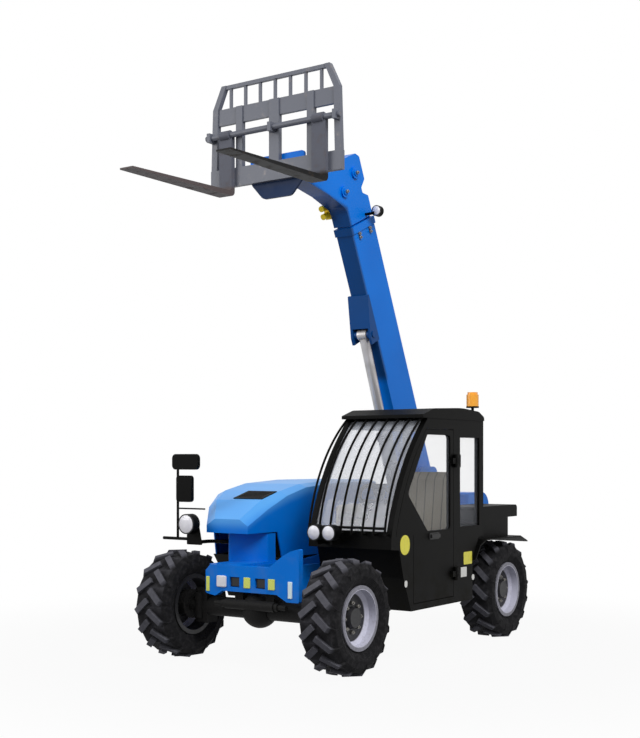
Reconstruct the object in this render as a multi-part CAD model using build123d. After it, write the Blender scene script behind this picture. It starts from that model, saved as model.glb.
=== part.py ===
from build123d import *
import os
from math import atan2, cos, degrees, hypot, radians, sin, sqrt

# A compact telescopic handler, boom raised, forks on.
# Millimetres. Forward is -Y, the cab is on +X, up is +Z.
# The origin is on the ground, midway between the axles, on the centre line.

# Running gear
WHEELBASE = 2300.0
TRACK = 1500.0
TYRE_RADIUS = 412.0
TYRE_WIDTH = 305.0
TYRE_FACETS = 16
BAR_HEIGHT = 30.0
BAR_WIDTH = 44.0
BAR_SLANT = 40.0
BARS_PER_SIDE = 16
BEAD_RADIUS = 209.5
BEAD_GAP = 0.3
RIM_WIDTH = 254.0
RIM_WALL = 12.0
RIM_FLANGE_RADIUS = 228.0
DISC_OFFSET = 34.0
DISC_THICKNESS = 14.0
DISC_DISH = 34.0
HUB_RADIUS = 92.0
HUB_LENGTH = 70.0
HUB_CAP_RADIUS = 78.0
HUB_CAP_DEPTH = 38.0
SPINDLE_RADIUS = 40.0
KINGPIN_OFFSET = 190.0
KINGPIN_RADIUS = 24.0
KNUCKLE_POST_RADIUS = 56.0
DRUM_DEPTH = 68.0
RUNNING_CLEARANCE = 0.05
AXLE_TUBE_RADIUS = 72.0
YOKE_SETBACK = 66.0
YOKE_ARM_HEIGHT = 96.0
YOKE_ARM_THICKNESS = 30.0
YOKE_ARM_HALF = 44.0
DIFFERENTIAL_RADIUS = 135.0
DIFFERENTIAL_HALF = 110.0
AXLE_PAD_HALF = 70.0

# Main frame
FRAME_INNER = 125.0
FRAME_PLATE = 20.0
FRAME_BOTTOM = 330.0
FRAME_TOP = 720.0
AXLE_NOTCH_TOP = 545.0
AXLE_NOTCH_HALF = 150.0
BELLY_HALF = 930.0
WALL_PLATE = 16.0
CAB_PAD_PLACES = (-350.0, 300.0)
TOWER_TOP = 1450.0
FRAME_REAR = 1290.0
COUNTERWEIGHT_REAR = 1680.0
COUNTERWEIGHT_HALF = 430.0
COUNTERWEIGHT_WAIST = 345.0
COUNTERWEIGHT_TOP = 1220.0
COUNTERWEIGHT_BOTTOM = 470.0
HITCH_Z = 640.0
HITCH_HALF = 60.0
HITCH_REACH = 110.0
HITCH_PIN_RADIUS = 16.0
TAIL_LAMP_X = 330.0
TAIL_LAMP_Z = 1000.0

# Front plate, ledge and neck
FRONT_PLATE_Y = -1220.0
FRONT_PLATE_DEPTH = 50.0
FRONT_PLATE_HALF = 418.0
FRONT_PLATE_BOTTOM = 497.0
FRONT_PLATE_ARCH = 545.0
FRONT_PLATE_TOP = 735.0
FRONT_WING_X = 435.0
FRONT_WING_TOP = 880.0
RECESS_PLACES = (-145.0, 90.0)
RECESS_HALF = 46.0
RECESS_BOTTOM = 578.0
RECESS_TOP = 652.0
RECESS_DEPTH = 26.0
LEDGE_REAR = -700.0
LEDGE_THICKNESS = 16.0
NECK_RIGHT = -440.0
NECK_REAR = -745.0
NECK_FRONT_LEFT = -840.0
NECK_FRONT_RIGHT = -1010.0
NECK_GAP = 8.0

# Boom
BOOM_ANGLE = 65.0
PIVOT_Y = 1100.0
PIVOT_Z = 1360.0
PIVOT_PIN_RADIUS = 35.0
PIVOT_TUBE_RADIUS = 62.0
PIVOT_TUBE_HALF = 119.0
BOOM_WIDTH = 150.0
BOOM_DEPTH = 365.0
BOOM_WALL = 8.0
BOOM_DROP = 18.0
BOOM_TAIL = -130.0
BOOM_END = 2310.0
COLLAR_LENGTH = 60.0
COLLAR_LIP = 9.0
SLIDE_GAP = 8.0
PAD_GAP = 0.3
PAD_LENGTH = 120.0
INNER_TAIL = 150.0
NOSE_START = 2326.0
NOSE_END = 2840.0
NOSE_TOP = 162.0
NOSE_NOTCH = 2545.0
NOSE_NOTCH_DEPTH = 74.0
NOSE_HALF = 80.0
NOSE_WALL = 12.0
NOSE_BOSSES = ((2600.0, -180.0), (2700.0, 30.0))
NOSE_BOSS_RADIUS = 46.0
NOSE_BOSS_REACH = 16.0
NECK_BEND = 2466.0
NECK_ELBOW = 2636.0
NECK_ELBOW_DROP = 400.0
HINGE_ALONG = 2950.0
HINGE_DROP = 750.0
HINGE_PIN_RADIUS = 30.0
HINGE_EYE_RADIUS = 78.0
NOSE_LAMP_ALONG = 2352.0
NOSE_LAMP_RISE = 117.0
NOSE_LAMP_X = 165.0
NOSE_LAMP_RADIUS = 44.0
COUPLER_CAPS = (2440.0, 2505.0)
CAP_RADIUS = 24.0

# Lift cylinder
LIFT_BASE_Y = 950.0
LIFT_BASE_Z = 800.0
LIFT_EYE_ALONG = 1430.0
LIFT_EYE_DROP = 268.0
LIFT_BARREL_RADIUS = 62.0
LIFT_BARREL_LENGTH = 1010.0
LIFT_BARREL_WALL = 12.0
LIFT_GLAND = 60.0
LIFT_ROD_RADIUS = 41.0
LIFT_ROD_TAIL = 220.0
LIFT_EYE_RADIUS = 42.0
LIFT_PIN_RADIUS = 24.0
LIFT_EYE_HALF = 42.0
BRACKET_HALF = 98.0
BRACKET_PLATE = 22.0
BRACKET_START = 1360.0
BRACKET_END = 1750.0
BRACKET_COVER = 1492.0
BRACKET_DROP = 318.0
BRACKET_CAP = 6.0

# Carriage and forks
CARRIAGE_STANDOFF = 98.0
COUPLER_PLATE = 20.0
COUPLER_HALF = 250.0
COUPLER_RISE = 70.0
COUPLER_FALL = 250.0
COUPLER_EAR = 26.0
CARRIAGE_DEPTH = 40.0
CARRIAGE_HALF = 605.0
LOWER_RAIL_BOTTOM = 3590.0
LOWER_RAIL_TOP = 3730.0
UPPER_RAIL_BOTTOM = 4072.0
UPPER_RAIL_TOP = 4195.0
POST_WIDTH = 55.0
UPRIGHT_X = 330.0
UPRIGHT_HALF = 30.0
GUARD_TOP_HALF = 500.0
GUARD_TOP = 4370.0
GUARD_RAIL = 28.0
GUARD_BAR_PITCH = 140.0
GUARD_BAR_HALF = 10.0
SHAFT_Z = 3975.0
SHAFT_RADIUS = 22.0
SHAFT_STANDOFF = 30.0
SHAFT_END = 14.0
FORK_TIP_Y = -2100.0
FORK_TIP_THICKNESS = 12.0
FORK_WIDTH = 120.0
FORK_THICKNESS = 40.0
FORK_BOTTOM = 3510.0
FORK_SPREAD = 430.0
FORK_EYE_WALL = 14.0

# Cab
CAB_RIGHT = 155.0
CAB_LEFT = 880.0
CAB_REAR = 690.0
CAB_FLOOR = 390.0
CAB_SILL = 950.0
CAB_WALL = 20.0
CAB_LOW_FRONT = -470.0
CAB_LOW_REAR = 500.0
PILLAR = 46.0
HEADER_Z = 1745.0
HEADER_HEIGHT = 80.0
ROOF_TOP = 1918.0
ROOF_FRONT = -300.0
B_PILLAR_FRONT = 184.0
B_PILLAR_REAR = 290.0
C_PILLAR = 70.0
DOOR_FRONT = -440.0
DOOR_STEP = 50.0
DOOR_GAP = 5.0
DOOR_THICKNESS = 36.0
DOOR_SKIN = 10.0
GLASS = 6.0
GUARD_STANDOFF = 46.0
GUARD_TUBE_RADIUS = 9.0
GUARD_TUBES = 8
HINGE_BARREL_RADIUS = 16.0
HINGE_STUD_RADIUS = 8.0
HINGE_EYE_HALF = 22.0
HINGE_BRACKET_HALF = 50.0
HINGE_X = CAB_LEFT + 18.0
HINGE_LINE_Y = B_PILLAR_FRONT + 4.0
DOOR_HINGES = (CAB_SILL - 330.0, HEADER_Z - 245.0)
SEAT_TOP = 700.0
SEAT_HALF = 240.0
SEAT_FRONT = 0.0
SEAT_REAR = 470.0
CUSHION = 110.0
BACKREST_TOP = 1420.0
STEERING_Y = -330.0
STEERING_Z = CAB_SILL + 240.0
STEERING_RADIUS = 165.0
DASH_FRONT = -650.0
DASH_REAR = -500.0
DASH_HALF = 170.0
DASH_TOP = CAB_SILL + 130.0
CAB_LAMPS = (310.0, 440.0)
CAB_LAMP_Y = -905.0
CAB_LAMP_Z = CAB_SILL + 25.0
CAB_LAMP_RADIUS = 58.0
BEACON_X = 800.0
BEACON_Y = 655.0
BEACON_RADIUS = 52.0
BEACON_HEIGHT = 115.0
BEACON_STALK = 27.0

# Hood and engine bay
HOOD_LEFT = -155.0
HOOD_RIGHT = -850.0
HOOD_REAR = 690.0
HOOD_CHAMFER = 78.0
HOOD_NOSE_LOW = 956.0
HOOD_STEP_LOW = -670.0
HOOD_STEP_HIGH = -730.0
# Stations along the hood: place, crown height, crease height, right edge.
HOOD_STATIONS = (
    (-1100.0, 1062.0, 1012.0, -552.0),
    (-840.0, 1198.0, 1136.0, -745.0),
    (-600.0, 1264.0, 1230.0, HOOD_RIGHT),
    (-340.0, 1316.0, 1292.0, HOOD_RIGHT),
    (100.0, 1340.0, 1320.0, HOOD_RIGHT),
    (HOOD_REAR, 1340.0, 1320.0, HOOD_RIGHT),
)
HOOD_SKIN = 10.0
HOOD_HINGE_Y = 725.0
HOOD_HINGE_Z = 1290.0
HOOD_HINGES = (-700.0, -300.0)
HOOD_EAR_HALF = 20.0
HOOD_PRONG = 14.0
HOOD_BEAM = 40.0
GRILLE_LEFT = -240.0
GRILLE_RIGHT = -520.0
GRILLE_FRONT = -815.0
GRILLE_REAR = -625.0
GRILLE_RISE = 7.0
GRILLE_SLOTS = 5
BAY_TOP = 752.0
BAY_FLOOR = 400.0
BAY_WALL = 12.0
BAY_FRONT = -470.0
BAY_REAR = 500.0
SEAT_GAP = 0.3

# Right lamp and mirrors, beside the hood's nose
LAMP_ARM_Y = -960.0
LAMP_ARM_Z = 880.0
LAMP_ARM_RADIUS = 14.0
LAMP_PLATE_Y = -1150.0
LAMP_PLATE = 8.0
RIGHT_LAMP_X = -645.0
RIGHT_LAMP_Z = 1022.0
RIGHT_LAMP_RADIUS = 76.0
RIGHT_LAMP_DEPTH = 68.0
MIRROR_POST_X = -808.0
MIRROR_BAR_Z = 903.0
MIRROR_BAR_RADIUS = 12.0
MIRROR_POST_RADIUS = 10.0
MIRROR_LOOP_Z = 1135.0
MIRROR_DEPTH = 32.0

# Rear
GUARD_CLEARANCE = 36.0
MUDGUARD_SKIN = 10.0
MUDGUARD_INNER = 560.0
BOX_HEIGHT = 158.0
BOX_LID = 102.0

FRONT_AXLE_Y = -WHEELBASE / 2
REAR_AXLE_Y = WHEELBASE / 2
AXLE_Z = TYRE_RADIUS
WHEEL_X = TRACK / 2
KINGPIN_X = WHEEL_X - KINGPIN_OFFSET
FRAME_OUTER = FRAME_INNER + FRAME_PLATE
CAB_MIDDLE = (CAB_RIGHT + CAB_LEFT) / 2
MUDGUARD_TOP = 2 * TYRE_RADIUS + GUARD_CLEARANCE
BOOM_UNDER = -BOOM_DROP - BOOM_DEPTH / 2
INNER_WIDTH = BOOM_WIDTH - 2 * (BOOM_WALL + SLIDE_GAP)
INNER_DEPTH = BOOM_DEPTH - 2 * (BOOM_WALL + SLIDE_GAP)


def side_prism(points, x_low, x_high, radius=0.0):
    """A side outline of (y, z) points carried across from x_low to x_high."""
    line = FilletPolyline(*points, radius=radius, close=True)
    return extrude(make_face(Plane.YZ.offset(x_low) * line), x_high - x_low, dir=(1, 0, 0))


def front_prism(points, y_low, y_high, radius=0.0):
    """A front outline of (x, z) points carried back from y_low to y_high."""
    line = FilletPolyline(*points, radius=radius, close=True)
    return extrude(make_face(Plane.XZ.offset(-y_low) * line), y_high - y_low, dir=(0, 1, 0))


def plan_prism(points, z_low, z_high, radius=0.0):
    """A plan outline of (x, y) points carried up from z_low to z_high."""
    line = FilletPolyline(*points, radius=radius, close=True)
    return extrude(make_face(Plane.XY.offset(z_low) * line), z_high - z_low, dir=(0, 0, 1))


def block(x_low, x_high, y_low, y_high, z_low, z_high):
    """A box between two opposite corners."""
    middle = Pos((x_low + x_high) / 2, (y_low + y_high) / 2, (z_low + z_high) / 2)
    return middle * Box(x_high - x_low, y_high - y_low, z_high - z_low)


def rod(start, end, radius):
    """A round bar from one point to another."""
    along = Vector(*end) - Vector(*start)
    return extrude(Plane(origin=start, z_dir=along) * Circle(radius), along.length)


def cross_rod(y, z, radius, x_low, x_high):
    """A round bar across the machine."""
    return rod((x_low, y, z), (x_high, y, z), radius)


def bent_tube(points, bend, radius):
    """A round bar along straight runs joined by bends."""
    path = FilletPolyline(*points, radius=bend)
    start = Plane(origin=path @ 0, z_dir=path % 0)
    return sweep(start * Circle(radius), path=path)


def mirrored(shape):
    """The shape together with its mirror image across the centre line."""
    return shape + mirror(shape, about=Plane.YZ)


# The boom is laid out pointing forward with its pivot at the origin, then raised.
BOOM_PLACE = Pos(0, PIVOT_Y, PIVOT_Z) * Rot(-BOOM_ANGLE, 0, 0)


def boom_point(along, rise):
    """The (y, z) place, boom raised, of a point measured along and above the pivot line."""
    turn = radians(BOOM_ANGLE)
    y = PIVOT_Y - along * cos(turn) + rise * sin(turn)
    return y, PIVOT_Z + along * sin(turn) + rise * cos(turn)


HINGE_Y, HINGE_Z = boom_point(HINGE_ALONG, -HINGE_DROP)
LIFT_EYE_Y, LIFT_EYE_Z = boom_point(LIFT_EYE_ALONG, -LIFT_EYE_DROP)
COUPLER_BACK = HINGE_Y - CARRIAGE_STANDOFF
CARRIAGE_BACK = COUPLER_BACK - COUPLER_PLATE
CARRIAGE_FRONT = CARRIAGE_BACK - CARRIAGE_DEPTH
SHAFT_Y = CARRIAGE_FRONT - SHAFT_STANDOFF


def faceted_ring(steps):
    """A solid through regular polygons, given as (x, radius) steps along the axle line."""
    ends = [Plane.YZ.offset(x) * RegularPolygon(radius, TYRE_FACETS) for x, radius in steps]
    return loft(Sketch() + ends, ruled=True)


def tread_bar(turn):
    """One slanted tread bar on the outer half of the tread, at a turn about the axle line."""
    slant = radians(BAR_SLANT)
    outward = Vector(0, cos(turn), sin(turn))
    around = Vector(0, -sin(turn), cos(turn))
    along = Vector(1, 0, 0) * cos(slant) + around * sin(slant)
    half = TYRE_WIDTH / 2 - BAR_WIDTH / 2 * sin(slant)
    middle = half / 2
    profile = [
        (half * 0.03, TYRE_RADIUS - BAR_HEIGHT - 14.0),
        (half * 0.03, TYRE_RADIUS),
        (half * 0.80, TYRE_RADIUS - 6.0),
        (half, TYRE_RADIUS - 56.0),
        (half, TYRE_RADIUS - 92.0),
        (half * 0.80, TYRE_RADIUS - 78.0),
    ]
    points = []
    for x, radius in profile:
        run = (x - middle) / cos(slant)
        offset = abs(run) * sin(slant) + BAR_WIDTH / 2
        points.append((run, sqrt(radius**2 - offset**2)))
    plane = Plane(origin=(middle, 0, 0), x_dir=along, z_dir=along.cross(outward))
    return extrude(plane * make_face(Polyline(*points, close=True)), BAR_WIDTH / 2, both=True)


def tyre():
    """The left front tyre: a faceted carcass with slanted bars, staggered side to side."""
    half = TYRE_WIDTH / 2
    crown = TYRE_RADIUS - BAR_HEIGHT
    steps = [(half * 0.80, crown), (half * 0.96, crown - 36.0), (half * 0.98, crown - 86.0)]
    body = faceted_ring([(-x, radius) for x, radius in reversed(steps)] + steps)
    recess = faceted_ring([(RIM_WIDTH / 2 - RIM_WALL, RIM_FLANGE_RADIUS + 8.0), (half, crown - 84.0)])
    body -= mirrored(recess)
    pitch = radians(360.0 / BARS_PER_SIDE)
    bars = []
    for step in range(BARS_PER_SIDE):
        bars.append(tread_bar(step * pitch))
        bars.append(mirror(tread_bar((step + 0.5) * pitch), about=Plane.YZ))
    body += bars
    bead = (BEAD_RADIUS + BEAD_GAP) / cos(radians(180.0 / TYRE_FACETS))
    return body - faceted_ring([(-half, bead), (half, bead)])


def rim():
    """The left front rim: rolled barrel, two flanges, dished disc, hub cap and hub."""
    half = RIM_WIDTH / 2
    inner = BEAD_RADIUS - RIM_WALL
    disc = DISC_OFFSET
    face = disc + DISC_THICKNESS
    ring = HUB_RADIUS + DISC_DISH
    section = Polyline(
        (-half, inner),
        (-half, RIM_FLANGE_RADIUS),
        (RIM_WALL - half, RIM_FLANGE_RADIUS),
        (RIM_WALL - half, BEAD_RADIUS),
        (half - RIM_WALL, BEAD_RADIUS),
        (half - RIM_WALL, RIM_FLANGE_RADIUS),
        (half, RIM_FLANGE_RADIUS),
        (half, inner),
        (disc + DISC_DISH, inner),
        (face - 4.0, inner - DISC_DISH),
        (face, ring),
        (face, HUB_CAP_RADIUS),
        (face + HUB_CAP_DEPTH, HUB_CAP_RADIUS - 10.0),
        (face + HUB_CAP_DEPTH, 0.0),
        (disc + 4.0, 0.0),
        (disc + 4.0, SPINDLE_RADIUS + RUNNING_CLEARANCE),
        (disc - HUB_LENGTH, SPINDLE_RADIUS + RUNNING_CLEARANCE),
        (disc - HUB_LENGTH, HUB_RADIUS),
        (disc, HUB_RADIUS),
        (disc, ring),
        (disc - 4.0, inner - DISC_DISH),
        (disc + DISC_DISH - DISC_THICKNESS, inner),
        close=True,
    )
    return revolve(make_face(section), axis=Axis.X)


def knuckle():
    """The left front steering knuckle: kingpin post, brake drum and wheel spindle."""
    hub_face = KINGPIN_OFFSET + DISC_OFFSET - HUB_LENGTH - 1.0
    post_half = YOKE_ARM_HEIGHT - SEAT_GAP
    pin_half = YOKE_ARM_HEIGHT + YOKE_ARM_THICKNESS
    body = rod((0, 0, -post_half), (0, 0, post_half), KNUCKLE_POST_RADIUS)
    body += rod((0, 0, -pin_half), (0, 0, pin_half), KINGPIN_RADIUS)
    body += cross_rod(0, 0, KNUCKLE_POST_RADIUS - 4.0, 0, hub_face)
    body += cross_rod(0, 0, HUB_RADIUS + 16.0, hub_face - DRUM_DEPTH, hub_face)
    return body + cross_rod(0, 0, SPINDLE_RADIUS, 0, hub_face + HUB_LENGTH)


def axle():
    """A drive axle: tubes, differential bulge, steering yokes and frame pads."""
    yoke_start = KINGPIN_X - YOKE_SETBACK
    arm_top = YOKE_ARM_HEIGHT + YOKE_ARM_THICKNESS
    pad_top = AXLE_NOTCH_TOP - AXLE_Z
    housing = cross_rod(0, 0, AXLE_TUBE_RADIUS, -yoke_start, yoke_start)
    reach = DIFFERENTIAL_RADIUS + 60.0
    bulge = Sphere(DIFFERENTIAL_RADIUS)
    bulge &= block(-DIFFERENTIAL_HALF, DIFFERENTIAL_HALF, -reach, reach, -reach, reach)
    housing += bulge
    housing += rod((0, 0, 0), (0, reach, 0), AXLE_TUBE_RADIUS - 10.0)
    yoke = block(yoke_start - 40.0, yoke_start, -60, 60, -arm_top, arm_top)
    for level in (YOKE_ARM_HEIGHT, -arm_top):
        top = level + YOKE_ARM_THICKNESS
        yoke += block(yoke_start - 20.0, KINGPIN_X, -YOKE_ARM_HALF, YOKE_ARM_HALF, level, top)
        yoke += rod((KINGPIN_X, 0, level), (KINGPIN_X, 0, top), YOKE_ARM_HALF)
    hole = KINGPIN_RADIUS + RUNNING_CLEARANCE
    yoke -= rod((KINGPIN_X, 0, -arm_top - 1), (KINGPIN_X, 0, arm_top + 1), hole)
    yoke += block(FRAME_INNER - 20.0, FRAME_OUTER + 35.0, -AXLE_PAD_HALF, AXLE_PAD_HALF, 0, pad_top)
    return housing + mirrored(yoke)


def chassis_frame():
    """Two tall side plates with a boom tower at the rear, tied by cross walls and a belly plate."""
    outline = [
        (FRONT_PLATE_Y, AXLE_NOTCH_TOP),
        (FRONT_PLATE_Y, FRAME_TOP),
        (-500.0, FRAME_TOP),
        (330.0, FRAME_TOP + 80.0),
        (PIVOT_Y - 300.0, PIVOT_Z - 200.0),
        (PIVOT_Y - 150.0, TOWER_TOP),
        (PIVOT_Y + 130.0, TOWER_TOP),
        (FRAME_REAR, PIVOT_Z - 180.0),
        (FRAME_REAR, AXLE_NOTCH_TOP),
        (REAR_AXLE_Y - AXLE_NOTCH_HALF, AXLE_NOTCH_TOP),
        (REAR_AXLE_Y - AXLE_NOTCH_HALF - 60.0, FRAME_BOTTOM),
        (FRONT_AXLE_Y + AXLE_NOTCH_HALF + 60.0, FRAME_BOTTOM),
        (FRONT_AXLE_Y + AXLE_NOTCH_HALF, AXLE_NOTCH_TOP),
    ]
    rounds = [0, 0, 200, 300, 200, 70, 70, 60, 0, 30, 30, 30, 30]
    plate = side_prism(outline, FRAME_INNER, FRAME_OUTER, rounds)
    plate -= cross_rod(PIVOT_Y, PIVOT_Z, PIVOT_PIN_RADIUS + RUNNING_CLEARANCE, 0, FRAME_OUTER + 1)
    plate -= cross_rod(LIFT_BASE_Y, LIFT_BASE_Z, LIFT_PIN_RADIUS + RUNNING_CLEARANCE, 0, FRAME_OUTER + 1)
    frame = mirrored(plate)
    half = FRAME_INNER
    front = FRONT_PLATE_Y + WALL_PLATE
    frame += block(-half, half, -BELLY_HALF, BELLY_HALF, FRAME_BOTTOM, FRAME_BOTTOM + WALL_PLATE)
    frame += block(-half, half, FRONT_PLATE_Y, front, AXLE_NOTCH_TOP, FRAME_TOP)
    frame += block(-half, half, FRAME_REAR - 20.0, FRAME_REAR, AXLE_NOTCH_TOP, PIVOT_Z - 210.0)
    frame += block(-half, half, -420, -400, FRAME_BOTTOM, FRAME_TOP - 80.0)
    for y in CAB_PAD_PLACES:
        frame += block(FRAME_OUTER, CAB_RIGHT, y, y + 100.0, FRAME_TOP - 240.0, FRAME_TOP - 120.0)
    return frame


def front_plate():
    """The blunt front plate: square recesses, a raised wing on the cab side and a ledge behind."""
    half = FRONT_PLATE_HALF
    top = FRONT_PLATE_TOP
    outline = [
        (-half, FRONT_PLATE_BOTTOM + 25),
        (-half, top - 45),
        (-half + 45, top),
        (FRAME_OUTER + 25, top),
        (half - 130, FRONT_WING_TOP - 58),
        (half - 60, FRONT_WING_TOP - 22),
        (FRONT_WING_X, FRONT_WING_TOP),
        (FRONT_WING_X, FRONT_PLATE_BOTTOM),
        (half - 90, FRONT_PLATE_BOTTOM),
        (half - 180, FRONT_PLATE_ARCH),
        (-half + 160, FRONT_PLATE_ARCH),
        (-half + 90, FRONT_PLATE_BOTTOM + 8),
    ]
    rounds = [15, 10, 10, 70, 70, 20, 10, 10, 20, 20, 20, 15]
    front = FRONT_PLATE_Y - FRONT_PLATE_DEPTH
    plate = front_prism(outline, front, FRONT_PLATE_Y, rounds)
    floor = front + RECESS_DEPTH
    for x in RECESS_PLACES:
        plate -= block(x - RECESS_HALF, x + RECESS_HALF, front - 1, floor, RECESS_BOTTOM, RECESS_TOP)
    return plate + block(-half, -FRAME_OUTER, FRONT_PLATE_Y - 1, LEDGE_REAR, top - LEDGE_THICKNESS, top)


def front_cowl():
    """The blue neck under the hood's nose, standing on the front plate's ledge."""
    left = HOOD_LEFT - NECK_GAP
    plan = [
        (left, NECK_REAR),
        (left, NECK_FRONT_LEFT),
        (NECK_RIGHT + 30, NECK_FRONT_RIGHT),
        (NECK_RIGHT, NECK_FRONT_RIGHT + 40),
        (NECK_RIGHT, NECK_REAR),
    ]
    return plan_prism(plan, FRONT_PLATE_TOP, HOOD_NOSE_LOW - NECK_GAP, [0, 20, 20, 20, 0])


def counterweight():
    """A cast block behind the rear axle, waisted between the tyres."""
    outline = [
        (FRAME_REAR, COUNTERWEIGHT_BOTTOM + 70),
        (FRAME_REAR, COUNTERWEIGHT_TOP),
        (COUNTERWEIGHT_REAR, COUNTERWEIGHT_TOP),
        (COUNTERWEIGHT_REAR, COUNTERWEIGHT_BOTTOM + 130),
        (COUNTERWEIGHT_REAR - 130, COUNTERWEIGHT_BOTTOM),
        (FRAME_REAR + 60, COUNTERWEIGHT_BOTTOM),
    ]
    rounds = [0, 20, 130, 40, 40, 20]
    body = side_prism(outline, -COUNTERWEIGHT_HALF, COUNTERWEIGHT_HALF, rounds)
    beside = COUNTERWEIGHT_HALF + 1
    waist = block(COUNTERWEIGHT_WAIST, beside, 0, COUNTERWEIGHT_REAR + 1, 0, 2 * TYRE_RADIUS + 50)
    return body - mirrored(waist)


def tail_lamps():
    """Two tail lamp clusters on the back of the counterweight."""
    outline = [
        (TAIL_LAMP_X - 42, TAIL_LAMP_Z - 55),
        (TAIL_LAMP_X + 42, TAIL_LAMP_Z - 55),
        (TAIL_LAMP_X + 42, TAIL_LAMP_Z + 55),
        (TAIL_LAMP_X - 42, TAIL_LAMP_Z + 55),
    ]
    return mirrored(front_prism(outline, COUNTERWEIGHT_REAR, COUNTERWEIGHT_REAR + 26, 14))


def tow_hitch():
    """A clevis on the back of the counterweight with its drop pin hole."""
    back = COUNTERWEIGHT_REAR
    end = back + HITCH_REACH
    half = HITCH_HALF
    jaw = block(-half, half, back, end, HITCH_Z - half, HITCH_Z + half)
    jaw -= block(-half - 1, half + 1, back + 30, end + 1, HITCH_Z - half / 2, HITCH_Z + half / 2)
    pin_y = end - 35
    return jaw - rod((0, pin_y, HITCH_Z - half - 1), (0, pin_y, HITCH_Z + half + 1), HITCH_PIN_RADIUS)


def boom_box(width, depth, wall, start, end):
    """A rectangular boom tube, open at both ends, along the boom line."""
    outer = block(-width / 2, width / 2, -end, -start, -BOOM_DROP - depth / 2, -BOOM_DROP + depth / 2)
    width -= 2 * wall
    depth -= 2 * wall
    low = -BOOM_DROP - depth / 2
    return outer - block(-width / 2, width / 2, -end - 1, -start + 1, low, low + depth)


def wear_pads(width, depth, along, reach):
    """Four wear pads on the faces of a boom tube, standing out (or in, when reach is negative)."""
    low = -along - PAD_LENGTH
    half_across = INNER_WIDTH * 0.35
    half_up = INNER_DEPTH * 0.3
    pads = None
    for side in (-1, 1):
        near, far = sorted((side * depth / 2, side * (depth / 2 + reach)))
        flat = block(-half_across, half_across, low, -along, near - BOOM_DROP, far - BOOM_DROP)
        near, far = sorted((side * width / 2, side * (width / 2 + reach)))
        edge = block(near, far, low, -along, -BOOM_DROP - half_up, -BOOM_DROP + half_up)
        pads = flat + edge if pads is None else pads + flat + edge
    return pads


def lift_bracket():
    """The box under the boom that takes the lift cylinder's rod eye, open at its lower end."""
    side = [
        (-BRACKET_END, BOOM_UNDER - BRACKET_CAP + 1),
        (-BRACKET_START, BOOM_UNDER - BRACKET_CAP + 1),
        (-BRACKET_START, -BRACKET_DROP),
        (-BRACKET_START - 60, -BRACKET_DROP),
        (-BRACKET_END, BOOM_UNDER - BRACKET_CAP - 12),
    ]
    inside = BRACKET_HALF - BRACKET_PLATE
    plate = side_prism(side, inside, BRACKET_HALF)
    plate += cross_rod(-LIFT_EYE_ALONG, -LIFT_EYE_DROP, LIFT_PIN_RADIUS + 10, LIFT_EYE_HALF + 6, inside)
    plate += cross_rod(-LIFT_EYE_ALONG, -LIFT_EYE_DROP, LIFT_PIN_RADIUS + 4, inside, BRACKET_HALF + 8)
    cover = side_prism(side, -inside, inside)
    cover -= Pos(0, 0, BRACKET_CAP) * side_prism(side, -inside, inside)
    cover &= block(-inside, inside, -BRACKET_END, -BRACKET_COVER, -2 * BRACKET_DROP, BOOM_UNDER)
    low = BOOM_UNDER - BRACKET_CAP
    cap = block(-BRACKET_HALF, BRACKET_HALF, -BRACKET_END, -BRACKET_START, low, BOOM_UNDER + 2)
    return mirrored(plate) + cover + cap


def outer_boom():
    """The outer boom tube with pivot tube, end collar, lift bracket and wear pads inside."""
    body = boom_box(BOOM_WIDTH, BOOM_DEPTH, BOOM_WALL, BOOM_TAIL, BOOM_END)
    wide = BOOM_WIDTH + 2 * COLLAR_LIP
    deep = BOOM_DEPTH + 2 * COLLAR_LIP
    body += boom_box(wide, deep, COLLAR_LIP + BOOM_WALL, BOOM_END - COLLAR_LENGTH, BOOM_END)
    body += cross_rod(0, 0, PIVOT_TUBE_RADIUS, -PIVOT_TUBE_HALF, PIVOT_TUBE_HALF)
    end = PIVOT_TUBE_HALF + 1
    body -= cross_rod(0, 0, PIVOT_PIN_RADIUS + RUNNING_CLEARANCE, -end, end)
    body += lift_bracket()
    wide = BOOM_WIDTH - 2 * BOOM_WALL
    deep = BOOM_DEPTH - 2 * BOOM_WALL
    body += wear_pads(wide, deep, BOOM_END - PAD_LENGTH - 5, PAD_GAP - SLIDE_GAP)
    return BOOM_PLACE * body


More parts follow.
